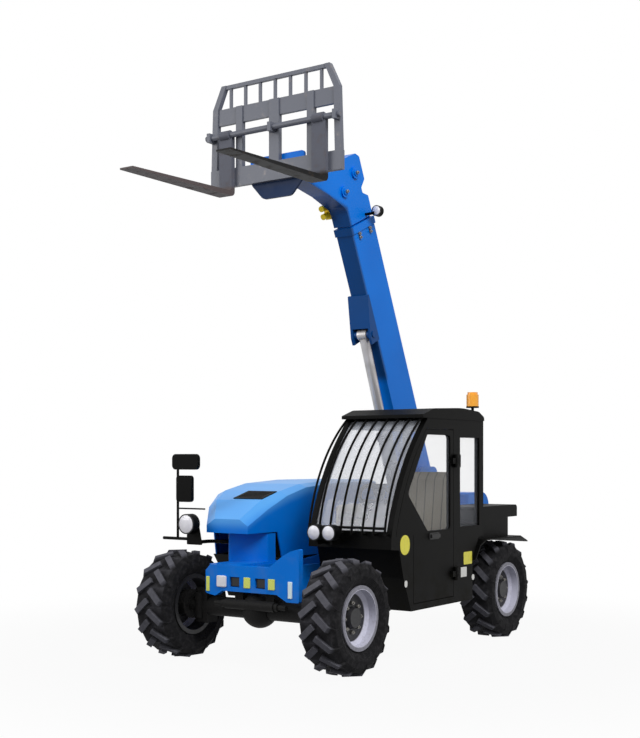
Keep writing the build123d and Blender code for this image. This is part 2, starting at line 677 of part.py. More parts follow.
def inner_boom():
    """The inner boom tube with its nose and the gooseneck that carries the hinge."""
    body = boom_box(INNER_WIDTH, INNER_DEPTH, BOOM_WALL, INNER_TAIL, NOSE_START + 20.0)
    outline = [
        (-NOSE_START, NOSE_TOP),
        (-NOSE_NOTCH + 62, NOSE_TOP),
        (-NOSE_NOTCH + 22, NOSE_TOP - NOSE_NOTCH_DEPTH),
        (-NOSE_NOTCH - 22, NOSE_TOP - NOSE_NOTCH_DEPTH),
        (-NOSE_NOTCH - 72, NOSE_TOP),
        (-NOSE_END + 35, NOSE_TOP),
        (-NOSE_END, NOSE_TOP - 50),
        (-NOSE_END, -130.0),
        (-HINGE_ALONG - 40, -HINGE_DROP + 130),
        (-HINGE_ALONG - HINGE_EYE_RADIUS, -HINGE_DROP),
        (-HINGE_ALONG, -HINGE_DROP - HINGE_EYE_RADIUS),
        (-HINGE_ALONG + HINGE_EYE_RADIUS, -HINGE_DROP),
        (-NECK_ELBOW, -NECK_ELBOW_DROP),
        (-NECK_BEND, BOOM_UNDER),
        (-NOSE_START, BOOM_UNDER),
    ]
    rounds = [0, 15, 15, 15, 15, 20, 30, 120, 120, 0, 0, 60, 200, 100, 0]
    nose = side_prism(outline, -NOSE_HALF, NOSE_HALF, rounds)
    nose += cross_rod(-HINGE_ALONG, -HINGE_DROP, HINGE_EYE_RADIUS, -NOSE_HALF, NOSE_HALF)
    inside = NOSE_HALF - NOSE_WALL
    ceiling = NOSE_TOP - NOSE_NOTCH_DEPTH - NOSE_WALL
    hollow = [
        (-NOSE_START - NOSE_WALL, ceiling),
        (-NOSE_END + NOSE_WALL, ceiling),
        (-NOSE_END + NOSE_WALL, -130.0),
        (-HINGE_ALONG - 4, -HINGE_DROP + 130),
        (-HINGE_ALONG + 76, -HINGE_DROP + 110),
        (-NECK_ELBOW - 20, -NECK_ELBOW_DROP + 30),
        (-NECK_BEND - 8, BOOM_UNDER + NOSE_WALL),
        (-NOSE_START - NOSE_WALL, BOOM_UNDER + NOSE_WALL),
    ]
    nose -= side_prism(hollow, -inside, inside)
    throat = INNER_DEPTH / 2 - BOOM_WALL
    across = INNER_WIDTH / 2 - BOOM_WALL
    mouth = -NOSE_START - 60
    nose -= block(-across, across, mouth, -NOSE_START + 1, -BOOM_DROP - throat, -BOOM_DROP + throat)
    for along, rise in NOSE_BOSSES:
        outside = NOSE_HALF + NOSE_BOSS_REACH
        boss = cross_rod(-along, rise, NOSE_BOSS_RADIUS, NOSE_HALF - 1, outside)
        boss += cross_rod(-along, rise, NOSE_BOSS_RADIUS * 0.6, outside, outside + 8)
        nose += mirrored(boss)
    body += nose
    body -= cross_rod(-HINGE_ALONG, -HINGE_DROP, HINGE_PIN_RADIUS + RUNNING_CLEARANCE, -200, 200)
    body += wear_pads(INNER_WIDTH, INNER_DEPTH, INNER_TAIL + 5, SLIDE_GAP - PAD_GAP)
    return BOOM_PLACE * body


def round_lamp(x, y, z, radius, depth):
    """A round lamp looking forward, its shell stepped in behind."""
    body = rod((x, y + depth, z), (x, y, z), radius)
    return body + rod((x, y + depth + 20, z), (x, y + depth, z), radius * 0.6)


def nose_lamp():
    """The work lamp on an arm from the side of the boom nose."""
    y, z = boom_point(NOSE_LAMP_ALONG, NOSE_LAMP_RISE)
    foot_y, foot_z = boom_point(NOSE_LAMP_ALONG, NOSE_LAMP_RISE - 60)
    depth = NOSE_LAMP_RADIUS
    lamp = round_lamp(NOSE_LAMP_X, y - depth / 2, z, NOSE_LAMP_RADIUS, depth)
    lamp += rod((NOSE_HALF, foot_y, foot_z), (NOSE_LAMP_X - 20, foot_y, foot_z), 11)
    return lamp + rod((NOSE_LAMP_X - 20, foot_y, foot_z), (NOSE_LAMP_X - 20, y, z), 11)


def hose_couplers():
    """Two capped hose couplers on a bracket at the right of the boom nose."""
    low = min(COUPLER_CAPS) - 40
    high = max(COUPLER_CAPS) + 40
    top = BOOM_UNDER + 30
    body = block(-NOSE_HALF - 62, -NOSE_HALF, -high, -low, top - 22, top)
    for along in COUPLER_CAPS:
        x = -NOSE_HALF - 34
        body += rod((x, -along, top - 95), (x, -along, top - 20), CAP_RADIUS)
    return BOOM_PLACE * body


def lift_line():
    """Length and slope in degrees of the lift cylinder, boom raised."""
    back = LIFT_BASE_Y - LIFT_EYE_Y
    up = LIFT_EYE_Z - LIFT_BASE_Z
    return hypot(back, up), degrees(atan2(up, back))


LIFT_LENGTH, LIFT_SLOPE = lift_line()
LIFT_PLACE = Pos(0, LIFT_BASE_Y, LIFT_BASE_Z) * Rot(-LIFT_SLOPE, 0, 0)


def lift_barrel():
    """The lift cylinder's barrel with its base eye and end gland."""
    end = -LIFT_BARREL_LENGTH
    half = FRAME_INNER - 20
    eye = LIFT_BARREL_RADIUS - 2
    body = rod((0, -70, 0), (0, end, 0), LIFT_BARREL_RADIUS)
    body += rod((0, end + LIFT_GLAND, 0), (0, end, 0), LIFT_BARREL_RADIUS + 7)
    body -= rod((0, -110, 0), (0, end + LIFT_GLAND, 0), LIFT_BARREL_RADIUS - LIFT_BARREL_WALL)
    body += block(-40, 40, -90, 0, -50, 50)
    body += cross_rod(0, 0, eye, -half, half)
    body -= cross_rod(0, 0, LIFT_PIN_RADIUS + RUNNING_CLEARANCE, -FRAME_INNER, FRAME_INNER)
    body -= rod((0, -200, 0), (0, end - 1, 0), LIFT_ROD_RADIUS + RUNNING_CLEARANCE)
    return LIFT_PLACE * body


def lift_rod():
    """The lift cylinder's chromed rod with its eye."""
    body = rod((0, -LIFT_BARREL_LENGTH + LIFT_ROD_TAIL, 0), (0, -LIFT_LENGTH + 30, 0), LIFT_ROD_RADIUS)
    body += cross_rod(-LIFT_LENGTH, 0, LIFT_EYE_RADIUS, -LIFT_EYE_HALF, LIFT_EYE_HALF)
    body -= cross_rod(-LIFT_LENGTH, 0, LIFT_PIN_RADIUS, -LIFT_EYE_HALF - 1, LIFT_EYE_HALF + 1)
    return LIFT_PLACE * body


def boom_pins():
    """The boom's pivot pin and the lift cylinder's base pin, held in the frame plates."""
    half = FRAME_OUTER + 18.0
    pins = cross_rod(PIVOT_Y, PIVOT_Z, PIVOT_PIN_RADIUS, -half, half)
    return pins + cross_rod(LIFT_BASE_Y, LIFT_BASE_Z, LIFT_PIN_RADIUS, -half, half)


def coupler():
    """The blue coupler: a hull-shaped back plate with ears on the gooseneck's hinge pin."""
    half = COUPLER_HALF
    top = HINGE_Z + COUPLER_RISE
    bottom = HINGE_Z - COUPLER_FALL
    outline = [
        (-half, top),
        (half, top),
        (half, bottom + 130),
        (half - 120, bottom),
        (120 - half, bottom),
        (-half, bottom + 130),
    ]
    plate = front_prism(outline, CARRIAGE_BACK, COUPLER_BACK, [25, 25, 100, 60, 60, 100])
    ear = [
        (COUPLER_BACK, top - 10),
        (HINGE_Y + 20, HINGE_Z + 50),
        (HINGE_Y + 60, HINGE_Z),
        (HINGE_Y + 20, HINGE_Z - 60),
        (COUPLER_BACK, bottom + 50),
    ]
    inner = NOSE_HALF + 8.0
    wing = side_prism(ear, inner, inner + COUPLER_EAR, [0, 40, 40, 40, 0])
    wing -= cross_rod(HINGE_Y, HINGE_Z, HINGE_PIN_RADIUS + RUNNING_CLEARANCE, 0, COUPLER_HALF)
    return plate + mirrored(wing)


def head_pin():
    """The hinge pin through the gooseneck and the coupler's ears."""
    half = NOSE_HALF + COUPLER_EAR + 22
    return cross_rod(HINGE_Y, HINGE_Z, HINGE_PIN_RADIUS, -half, half)


def fork_carriage():
    """The fork frame: rails, uprights, fork shaft and the load guard above."""
    back = CARRIAGE_BACK
    front = CARRIAGE_FRONT
    half = CARRIAGE_HALF
    low = LOWER_RAIL_BOTTOM
    top = UPPER_RAIL_TOP
    frame = block(-half, half, front, back, low, LOWER_RAIL_TOP)
    frame += block(-half + 25, half - 25, front + 10, back, UPPER_RAIL_BOTTOM, top)
    post = [
        (half - POST_WIDTH, low),
        (half, low),
        (half - 20, top),
        (GUARD_TOP_HALF, GUARD_TOP),
        (GUARD_TOP_HALF - POST_WIDTH + 10, GUARD_TOP),
        (half - POST_WIDTH - 15, top),
    ]
    frame += mirrored(front_prism(post, front, back))
    frame += block(-45, 45, front, back, low, top)
    frame += mirrored(block(UPRIGHT_X - UPRIGHT_HALF, UPRIGHT_X + UPRIGHT_HALF, front, back, low, top))
    frame += block(-GUARD_TOP_HALF, GUARD_TOP_HALF, front + 5, back - 5, GUARD_TOP - GUARD_RAIL, GUARD_TOP)
    for place in range(-3, 4):
        x = place * GUARD_BAR_PITCH
        frame += block(x - GUARD_BAR_HALF, x + GUARD_BAR_HALF, front + 10, back - 10, top - 40, GUARD_TOP)
    frame += cross_rod(SHAFT_Y, SHAFT_Z, SHAFT_RADIUS, -half - SHAFT_END, half + SHAFT_END)
    reach = SHAFT_RADIUS + 12
    for x in (25 - half, 0, half - 25):
        frame += block(x - 15, x + 15, SHAFT_Y - reach, front, SHAFT_Z - reach, SHAFT_Z + reach)
    return frame


def fork(side):
    """A forged fork hung on the shaft by its eye, with a tapered blade."""
    back = CARRIAGE_FRONT - SEAT_GAP
    front = back - FORK_THICKNESS
    outline = [
        (back, FORK_BOTTOM),
        (back, SHAFT_Z - 10),
        (front, SHAFT_Z - 10),
        (front, FORK_BOTTOM + FORK_THICKNESS),
        (FORK_TIP_Y, FORK_BOTTOM + FORK_TIP_THICKNESS),
        (FORK_TIP_Y, FORK_BOTTOM),
    ]
    low = FORK_SPREAD * side - FORK_WIDTH / 2
    high = low + FORK_WIDTH
    body = side_prism(outline, low, high, [40, 0, 0, 25, 0, 0])
    body += cross_rod(SHAFT_Y, SHAFT_Z, SHAFT_RADIUS + FORK_EYE_WALL, low + 15, high - 15)
    body -= block(low, high, back, back + 200, SHAFT_Z - 100, SHAFT_Z + 100)
    return body - cross_rod(SHAFT_Y, SHAFT_Z, SHAFT_RADIUS + RUNNING_CLEARANCE, low, high)


# The cab's front pillar line, as three points of an arc.
PILLAR_FOOT = (-750.0, CAB_SILL)
PILLAR_MIDDLE = (-580.0, 1370.0)
PILLAR_HEAD = (-232.0, HEADER_Z + 70.0)
PILLAR_RUN = PILLAR * 1.3


def pillar_line(back):
    """The front pillar's arc, moved back by the given distance along the machine."""
    points = [(y + back, z) for y, z in (PILLAR_FOOT, PILLAR_MIDDLE, PILLAR_HEAD)]
    return ThreePointArc(*points)


def cab_side_face(front, head, rear, sill):
    """The face of a cab side behind the pillar arc, between a sill and a head line."""
    arc = pillar_line(front)
    foot = arc @ 0
    top = arc @ 1
    ahead = foot.X - 1000.0
    above = 2 * head
    outside = Polyline(top, (top.X, above), (ahead, above), (ahead, 0), (foot.X, 0), foot)
    panel = make_face(Polyline((foot.X, sill), (foot.X, head), (rear, head), (rear, sill), close=True))
    return panel - make_face(Curve() + [arc, outside])


# The tub's side outline and the hollow inside it.
TUB_OUTSIDE = [
    (CAB_LOW_FRONT, CAB_FLOOR),
    (-580, CAB_SILL - 310),
    (-640, CAB_SILL - 100),
    (-755, CAB_SILL - 90),
    PILLAR_FOOT,
    (CAB_REAR, CAB_SILL),
    (CAB_REAR, CAB_SILL - 60),
    (610, CAB_SILL - 60),
    (CAB_LOW_REAR, CAB_SILL - 250),
    (CAB_LOW_REAR, CAB_FLOOR),
]
TUB_INSIDE = [
    (CAB_LOW_FRONT + 14, CAB_FLOOR + CAB_WALL),
    (-560, CAB_SILL - 305),
    (-626, CAB_SILL - 80),
    (-735, CAB_SILL - 70),
    (-725, CAB_SILL + 1),
    (CAB_REAR - CAB_WALL, CAB_SILL + 1),
    (CAB_REAR - CAB_WALL, CAB_SILL - 40),
    (598, CAB_SILL - 40),
    (CAB_LOW_REAR - CAB_WALL, CAB_SILL - 244),
    (CAB_LOW_REAR - CAB_WALL, CAB_FLOOR + CAB_WALL),
]


def cab_base():
    """The cab's lower tub: floor, walls and the step up over the front wheel."""
    tub = side_prism(TUB_OUTSIDE, CAB_RIGHT, CAB_LEFT)
    tub -= side_prism(TUB_INSIDE, CAB_RIGHT + CAB_WALL, CAB_LEFT - PILLAR)
    low = CAB_LEFT - PILLAR - 1
    return tub - block(low, CAB_LEFT + 1, DOOR_FRONT, B_PILLAR_FRONT, CAB_FLOOR + DOOR_STEP, CAB_SILL + 1)


def cab_frame():
    """The cab's pillars and rails above the tub."""
    head = HEADER_Z + HEADER_HEIGHT
    rear_post = CAB_REAR - C_PILLAR
    whole = cab_side_face(0, head, CAB_REAR, CAB_SILL)
    doorway = cab_side_face(PILLAR_RUN, HEADER_Z, B_PILLAR_FRONT, CAB_SILL - 1)
    quarter = Polyline(
        (B_PILLAR_REAR, CAB_SILL + 30),
        (B_PILLAR_REAR, HEADER_Z - 60),
        (rear_post, HEADER_Z - 60),
        (rear_post, CAB_SILL + 30),
        close=True,
    )
    window = cab_side_face(PILLAR_RUN, HEADER_Z, rear_post, CAB_SILL + 30)
    left = Plane.YZ.offset(CAB_LEFT - PILLAR) * (whole - doorway - make_face(quarter))
    right = Plane.YZ.offset(CAB_RIGHT) * (whole - window)
    frame = extrude(left, PILLAR, dir=(1, 0, 0)) + extrude(right, PILLAR, dir=(1, 0, 0))
    low = CAB_RIGHT + PILLAR - 1
    high = CAB_LEFT - PILLAR + 1
    front = PILLAR_HEAD[0] + 20
    frame += block(low, high, front, front + 60, HEADER_Z + 10, head)
    frame += block(low, high, CAB_REAR - 60, CAB_REAR, HEADER_Z, head)
    frame += block(low, high, CAB_REAR - 40, CAB_REAR, CAB_SILL, CAB_SILL + 40)
    front = PILLAR_FOOT[0]
    return frame + block(low, high, front, front + 40, CAB_SILL, CAB_SILL + 36)


def cab_roof():
    """The roof: a shallow crowned cap with an overhang in front."""
    base = HEADER_Z + HEADER_HEIGHT
    outline = [
        (ROOF_FRONT, base),
        (ROOF_FRONT, base + 25),
        (ROOF_FRONT + 160, ROOF_TOP - 18),
        (310, ROOF_TOP),
        (CAB_REAR - 90, ROOF_TOP - 20),
        (CAB_REAR + 6, base + 30),
        (CAB_REAR + 6, base),
    ]
    return side_prism(outline, CAB_RIGHT - 4, CAB_LEFT + 6, [0, 10, 200, 1500, 80, 30, 0])


def windscreen():
    """The curved front glass between the front pillars."""
    low = CAB_SILL + 37
    head = HEADER_Z + HEADER_HEIGHT - 1
    outer = cab_side_face(12, head, 300, low)
    inner = cab_side_face(12 + GLASS * 1.3, head, 300, low - 1)
    across = CAB_LEFT - CAB_RIGHT - 2 * PILLAR
    pane = extrude(Plane.YZ.offset(CAB_RIGHT + PILLAR) * (outer - inner), across)
    return pane & block(0, CAB_LEFT, -1000, PILLAR_HEAD[0] + 19, low, HEADER_Z + 60)


def cab_glass():
    """The right, rear and left rear panes."""
    rear_post = CAB_REAR - C_PILLAR
    side = cab_side_face(PILLAR_RUN, HEADER_Z, rear_post, CAB_SILL + 30)
    panes = extrude(Plane.YZ.offset(CAB_RIGHT + 20) * side, GLASS, dir=(1, 0, 0))
    back = CAB_REAR - 25
    panes += block(CAB_RIGHT + PILLAR, CAB_LEFT - PILLAR, back, back + GLASS, CAB_SILL + 40, HEADER_Z)
    side = CAB_LEFT - 25
    return panes + block(side, side + GLASS, B_PILLAR_REAR, rear_post, CAB_SILL + 30, HEADER_Z - 60)


def door_window():
    """The door window's outline, cut across its lower front corner."""
    corner = pillar_line(PILLAR_RUN + 60) @ 0.32
    head = HEADER_Z - 45
    rear = B_PILLAR_FRONT - 54
    return [(-230, head), (rear, head), (rear, CAB_SILL + 20), (-225, CAB_SILL + 20), (corner.X, corner.Y)]


def door():
    """The door's panel and window frame, with two hinge eyes on its rear edge."""
    rear = B_PILLAR_FRONT - DOOR_GAP
    front = DOOR_FRONT + DOOR_GAP
    foot = CAB_FLOOR + DOOR_STEP + DOOR_GAP
    upper = cab_side_face(PILLAR_RUN + DOOR_GAP, HEADER_Z - DOOR_GAP, rear, CAB_SILL)
    lower = Polyline((front, foot), (front, CAB_SILL), (rear, CAB_SILL), (rear, foot), close=True)
    low = CAB_LEFT - DOOR_THICKNESS
    panel = extrude(Plane.YZ.offset(low) * (upper + make_face(lower)), DOOR_THICKNESS, dir=(1, 0, 0))
    panel -= side_prism(door_window(), low - 1, CAB_LEFT + 1, 30.0)
    panel -= block(low - 1, CAB_LEFT - DOOR_SKIN, front + 35, rear - 35, foot + 35, CAB_SILL - 50)
    leaf = HINGE_LINE_Y - 12
    for z in DOOR_HINGES:
        bottom = z - HINGE_EYE_HALF
        top = z + HINGE_EYE_HALF
        panel += rod((HINGE_X, HINGE_LINE_Y, bottom), (HINGE_X, HINGE_LINE_Y, top), HINGE_BARREL_RADIUS)
        panel += block(CAB_LEFT, HINGE_X + 8, leaf - 48, leaf, bottom, top)
        stud = HINGE_STUD_RADIUS + RUNNING_CLEARANCE
        panel -= rod((HINGE_X, HINGE_LINE_Y, bottom - 1), (HINGE_X, HINGE_LINE_Y, top + 1), stud)
    return panel


def door_glass():
    """The door's pane."""
    return side_prism(door_window(), CAB_LEFT - 20, CAB_LEFT - 20 + GLASS, 30.0)


def door_hinges():
    """Two hinge brackets with studs on the middle pillar."""
    brackets = []
    edge = HINGE_X + 10
    line = HINGE_LINE_Y
    for z in DOOR_HINGES:
        bottom = z - HINGE_BRACKET_HALF
        top = z + HINGE_BRACKET_HALF
        bracket = block(CAB_LEFT, edge, line + HINGE_EYE_HALF, line + 62, bottom, top)
        prong = HINGE_BRACKET_HALF - HINGE_EYE_HALF - SEAT_GAP
        for low in (bottom, top - prong):
            bracket += block(CAB_LEFT + 2, edge, line, line + 30, low, low + prong)
            bracket += rod((HINGE_X, line, low), (HINGE_X, line, low + prong), HINGE_BARREL_RADIUS)
        brackets.append(bracket + rod((HINGE_X, line, bottom), (HINGE_X, line, top), HINGE_STUD_RADIUS))
    return brackets[0] + brackets[1]


def windscreen_guard():
    """Curved bars standing ahead of the windscreen, with a cross bar low down."""
    first = CAB_RIGHT + 30.0
    last = CAB_LEFT - 30.0
    front = PILLAR_FOOT[0] - GUARD_STANDOFF
    low = CAB_SILL + 18
    arc = ThreePointArc(
        (front, low),
        (PILLAR_MIDDLE[0] - GUARD_STANDOFF - 30, PILLAR_MIDDLE[1] + 20),
        (PILLAR_HEAD[0] - GUARD_STANDOFF, PILLAR_HEAD[1] + 4),
    )
    head = arc @ 1
    bars = None
    for step in range(GUARD_TUBES):
        x = first + (last - first) * step / (GUARD_TUBES - 1)
        path = Plane.YZ.offset(x) * arc
        bar = sweep(Plane(origin=path @ 0, z_dir=path % 0) * RegularPolygon(GUARD_TUBE_RADIUS, 8), path=path)
        bar += rod((x, front - GUARD_TUBE_RADIUS, low), (x, PILLAR_FOOT[0] + 10, low), GUARD_TUBE_RADIUS)
        bar += rod((x, head.X, head.Y), (x, PILLAR_HEAD[0] + 15, head.Y), GUARD_TUBE_RADIUS)
        bars = bar if bars is None else bars + bar
    tie = arc @ 0.045
    bars += cross_rod(tie.X, tie.Y, GUARD_TUBE_RADIUS + 1, first, last)
    return bars - cab_frame() - cab_roof()


def seat():
    """The driver's seat pedestal with its slide plate."""
    floor = CAB_FLOOR + CAB_WALL
    body = block(CAB_MIDDLE - 190, CAB_MIDDLE + 190, SEAT_FRONT + 60, SEAT_REAR - 10, floor, SEAT_TOP - 20)
    low = CAB_MIDDLE - SEAT_HALF + 15
    high = CAB_MIDDLE + SEAT_HALF - 15
    return body + block(low, high, SEAT_FRONT + 15, SEAT_REAR - 5, SEAT_TOP - 21, SEAT_TOP)


def seat_cushion():
    """The seat's cushion."""
    outline = [
        (SEAT_FRONT, SEAT_TOP),
        (SEAT_FRONT, SEAT_TOP + CUSHION - 20),
        (SEAT_FRONT + 60, SEAT_TOP + CUSHION),
        (SEAT_REAR, SEAT_TOP + CUSHION - 10),
        (SEAT_REAR, SEAT_TOP),
    ]
    return side_prism(outline, CAB_MIDDLE - SEAT_HALF, CAB_MIDDLE + SEAT_HALF, 25.0)


def seat_back():
    """The seat's backrest, leaning back from the cushion."""
    low = SEAT_TOP + CUSHION
    outline = [
        (SEAT_REAR - 75, low),
        (SEAT_REAR + 5, BACKREST_TOP),
        (SEAT_REAR + 90, BACKREST_TOP),
        (SEAT_REAR + 10, low),
    ]
    half = SEAT_HALF - 10
    return side_prism(outline, CAB_MIDDLE - half, CAB_MIDDLE + half, 30.0) - seat_cushion()


def dashboard():
    """The dash pedestal with the steering column and wheel, and the side console."""
    low = CAB_MIDDLE - DASH_HALF
    high = CAB_MIDDLE + DASH_HALF
    body = block(low, high, DASH_FRONT, DASH_REAR, CAB_SILL - 250, CAB_SILL)
    body &= side_prism(TUB_INSIDE, low, high)
    body += block(low, high, DASH_FRONT, DASH_REAR, CAB_SILL, DASH_TOP)
    side = CAB_RIGHT + CAB_WALL
    body += block(side, side + 90, DOOR_FRONT, CAB_LOW_REAR - 60, CAB_FLOOR + CAB_WALL, CAB_SILL - 20)
    hub = (CAB_MIDDLE, STEERING_Y, STEERING_Z)
    foot = (CAB_MIDDLE, DASH_REAR - 60, DASH_TOP - 80)
    body += rod(foot, hub, 34.0)
    plane = Plane(origin=hub, z_dir=Vector(*hub) - Vector(*foot))
    spokes = Box(2 * STEERING_RADIUS, 30, 12) + Box(30, 2 * STEERING_RADIUS, 12)
    return body + plane * Torus(STEERING_RADIUS, 15) + plane * spokes


def cab_lamps():
    """Two round lamps ahead of the cab's front on short brackets."""
    lamps = None
    low = CAB_LAMP_Z - CAB_LAMP_RADIUS - 30
    for x in CAB_LAMPS:
        lamp = round_lamp(x, CAB_LAMP_Y, CAB_LAMP_Z, CAB_LAMP_RADIUS, 70)
        lamp += block(x - 12, x + 12, CAB_LAMP_Y + 30, PILLAR_FOOT[0] + 10, low, low + 40)
        lamps = lamp if lamps is None else lamps + lamp
    return lamps - cab_base()


def beacon():
    """The beacon's stalk and base plate at the cab roof's rear corner."""
    top = ROOF_TOP + BEACON_STALK
    stalk = rod((BEACON_X, BEACON_Y, ROOF_TOP - 60), (BEACON_X, BEACON_Y, top), 12)
    base = rod((BEACON_X, BEACON_Y, top - 12), (BEACON_X, BEACON_Y, top), BEACON_RADIUS)
    return stalk + base - cab_roof()


def beacon_lens():
    """The beacon's amber lens."""
    low = ROOF_TOP + BEACON_STALK
    high = low + BEACON_HEIGHT
    lens = rod((BEACON_X, BEACON_Y, low), (BEACON_X, BEACON_Y, high - 20), BEACON_RADIUS - 2)
    return lens + rod((BEACON_X, BEACON_Y, high - 20), (BEACON_X, BEACON_Y, high), BEACON_RADIUS - 10)


def engine_bay():
    """The engine tray on the right of the frame: floor, side, front and rear walls."""
    floor = BAY_FLOOR + BAY_WALL
    outline = [
        (BAY_FRONT, BAY_FLOOR),
        (BAY_FRONT - 110, BAY_TOP - 112),
        (BAY_FRONT - 190, BAY_TOP),
        (BAY_REAR + 140, BAY_TOP),
        (BAY_REAR, BAY_TOP - 62),
        (BAY_REAR, BAY_FLOOR),
    ]
    inner = [
        (BAY_FRONT + 10, floor),
        (BAY_FRONT - 98, BAY_TOP - 112),
        (BAY_FRONT - 170, BAY_TOP + 1),
        (BAY_REAR + 120, BAY_TOP + 1),
        (BAY_REAR - BAY_WALL, BAY_TOP - 55),
        (BAY_REAR - BAY_WALL, floor),
    ]
    tub = side_prism(outline, HOOD_RIGHT, -FRAME_OUTER)
    return tub - side_prism(inner, HOOD_RIGHT + BAY_WALL, -FRAME_OUTER - BAY_WALL)


def engine_block():
    """The engine, as one plain block standing on the bay floor."""
    body = block(-700, -300, -380, 200, BAY_FLOOR + BAY_WALL, BAY_TOP + 258)
    return body + block(-640, -360, -330, 150, BAY_TOP + 257, BAY_TOP + 368)


def hood_solid(inset):
    """The hood's outer form, or its hollow when drawn in by the skin thickness."""
    low = 0.0 if inset else BAY_TOP + 1.0
    last = len(HOOD_STATIONS) - 1
    sections = []
    for place, (y, crown, crease, right) in enumerate(HOOD_STATIONS):
        if place == 0:
            y += inset
        if place == last:
            y -= inset
        left = HOOD_LEFT - inset
        right += inset
        crown -= inset
        crease -= inset
        line = Polyline(
            (left, low),
            (left, crease),
            (left - HOOD_CHAMFER, crown),
            (right + HOOD_CHAMFER, crown),
            (right, crease),
            (right, low),
            close=True,
        )
        sections.append(make_face(Plane.XZ.offset(-y) * line))
    return loft(Sketch() + sections, ruled=True)


def hood():
    """The engine hood: a crowned shell over the bay with a low nose over the front axle."""
    shell = hood_solid(0) - hood_solid(HOOD_SKIN)
    nose = HOOD_STATIONS[0][0] - 1
    under = [
        (nose, 0),
        (nose, HOOD_NOSE_LOW),
        (HOOD_STEP_HIGH, HOOD_NOSE_LOW),
        (HOOD_STEP_LOW, BAY_TOP),
        (HOOD_STEP_LOW, 0),
    ]
    shell -= side_prism(under, HOOD_RIGHT - 1, HOOD_LEFT + 1)
    for x in HOOD_HINGES:
        low = x - HOOD_EAR_HALF
        high = x + HOOD_EAR_HALF
        foot = HOOD_HINGE_Z - HINGE_BARREL_RADIUS
        shell += block(low, high, HOOD_REAR - 2, HOOD_HINGE_Y, foot, foot + 2 * HINGE_BARREL_RADIUS)
        shell += cross_rod(HOOD_HINGE_Y, HOOD_HINGE_Z, HINGE_BARREL_RADIUS, low, high)
        bore = HINGE_STUD_RADIUS + RUNNING_CLEARANCE
        shell -= cross_rod(HOOD_HINGE_Y, HOOD_HINGE_Z, bore, low - 1, high + 1)
    return shell


def hood_hinges():
    """A cross beam behind the hood, gusseted to the frame, with a forked hinge and pin at each end."""
    low = min(HOOD_HINGES) - 60
    near = HOOD_HINGE_Y + 24
    top = HOOD_HINGE_Z + 10
    parts = block(low, -FRAME_OUTER, near, near + HOOD_BEAM, top - 70, top)
    parts += block(-FRAME_OUTER - 20, -FRAME_OUTER, near, near + 176, top - 190, top)
    foot = HOOD_HINGE_Z - HINGE_BARREL_RADIUS
    crest = HOOD_HINGE_Z + HINGE_BARREL_RADIUS
    for x in HOOD_HINGES:
        outside = HOOD_EAR_HALF + SEAT_GAP
        for side in (x - outside - HOOD_PRONG, x + outside):
            parts += block(side, side + HOOD_PRONG, HOOD_HINGE_Y, near + 6, foot, crest)
            parts += cross_rod(HOOD_HINGE_Y, HOOD_HINGE_Z, HINGE_BARREL_RADIUS, side, side + HOOD_PRONG)
        reach = outside + HOOD_PRONG
        parts += cross_rod(HOOD_HINGE_Y, HOOD_HINGE_Z, HINGE_STUD_RADIUS, x - reach, x + reach)
    return parts


def hood_grille():
    """The black louvred panel on the hood's sloping top."""
    panel = Pos(0, 0, GRILLE_RISE) * hood_solid(0) - hood_solid(0)
    panel &= block(GRILLE_RIGHT, GRILLE_LEFT, GRILLE_FRONT, GRILLE_REAR, BAY_TOP + 300, BAY_TOP + 700)
    pitch = (GRILLE_REAR - GRILLE_FRONT) / (GRILLE_SLOTS + 1)
    for step in range(GRILLE_SLOTS):
        y = GRILLE_FRONT + pitch * (step + 1)
        panel -= block(GRILLE_RIGHT + 25, GRILLE_LEFT - 25, y - 8, y + 8, BAY_TOP + 300, BAY_TOP + 700)
    return panel


def right_lamp():
    """The right headlamp on a plate, carried by an arm from the neck."""
    elbow = RIGHT_LAMP_X + 25
    path = [
        (NECK_RIGHT, LAMP_ARM_Y, LAMP_ARM_Z),
        (elbow, LAMP_ARM_Y, LAMP_ARM_Z),
        (elbow, LAMP_PLATE_Y, LAMP_ARM_Z),
    ]
    arm = bent_tube(path, [50], LAMP_ARM_RADIUS)
    plate = [
        (RIGHT_LAMP_X - 55, LAMP_ARM_Z - 18),
        (RIGHT_LAMP_X + 95, LAMP_ARM_Z - 18),
        (RIGHT_LAMP_X + 60, RIGHT_LAMP_Z),
        (RIGHT_LAMP_X - 55, RIGHT_LAMP_Z),
    ]
    body = arm + front_prism(plate, LAMP_PLATE_Y - LAMP_PLATE, LAMP_PLATE_Y, 10)
    front = LAMP_PLATE_Y - LAMP_PLATE - RIGHT_LAMP_DEPTH
    face = (RIGHT_LAMP_X, front, RIGHT_LAMP_Z)
    return body + rod((RIGHT_LAMP_X, front + RIGHT_LAMP_DEPTH, RIGHT_LAMP_Z), face, RIGHT_LAMP_RADIUS)


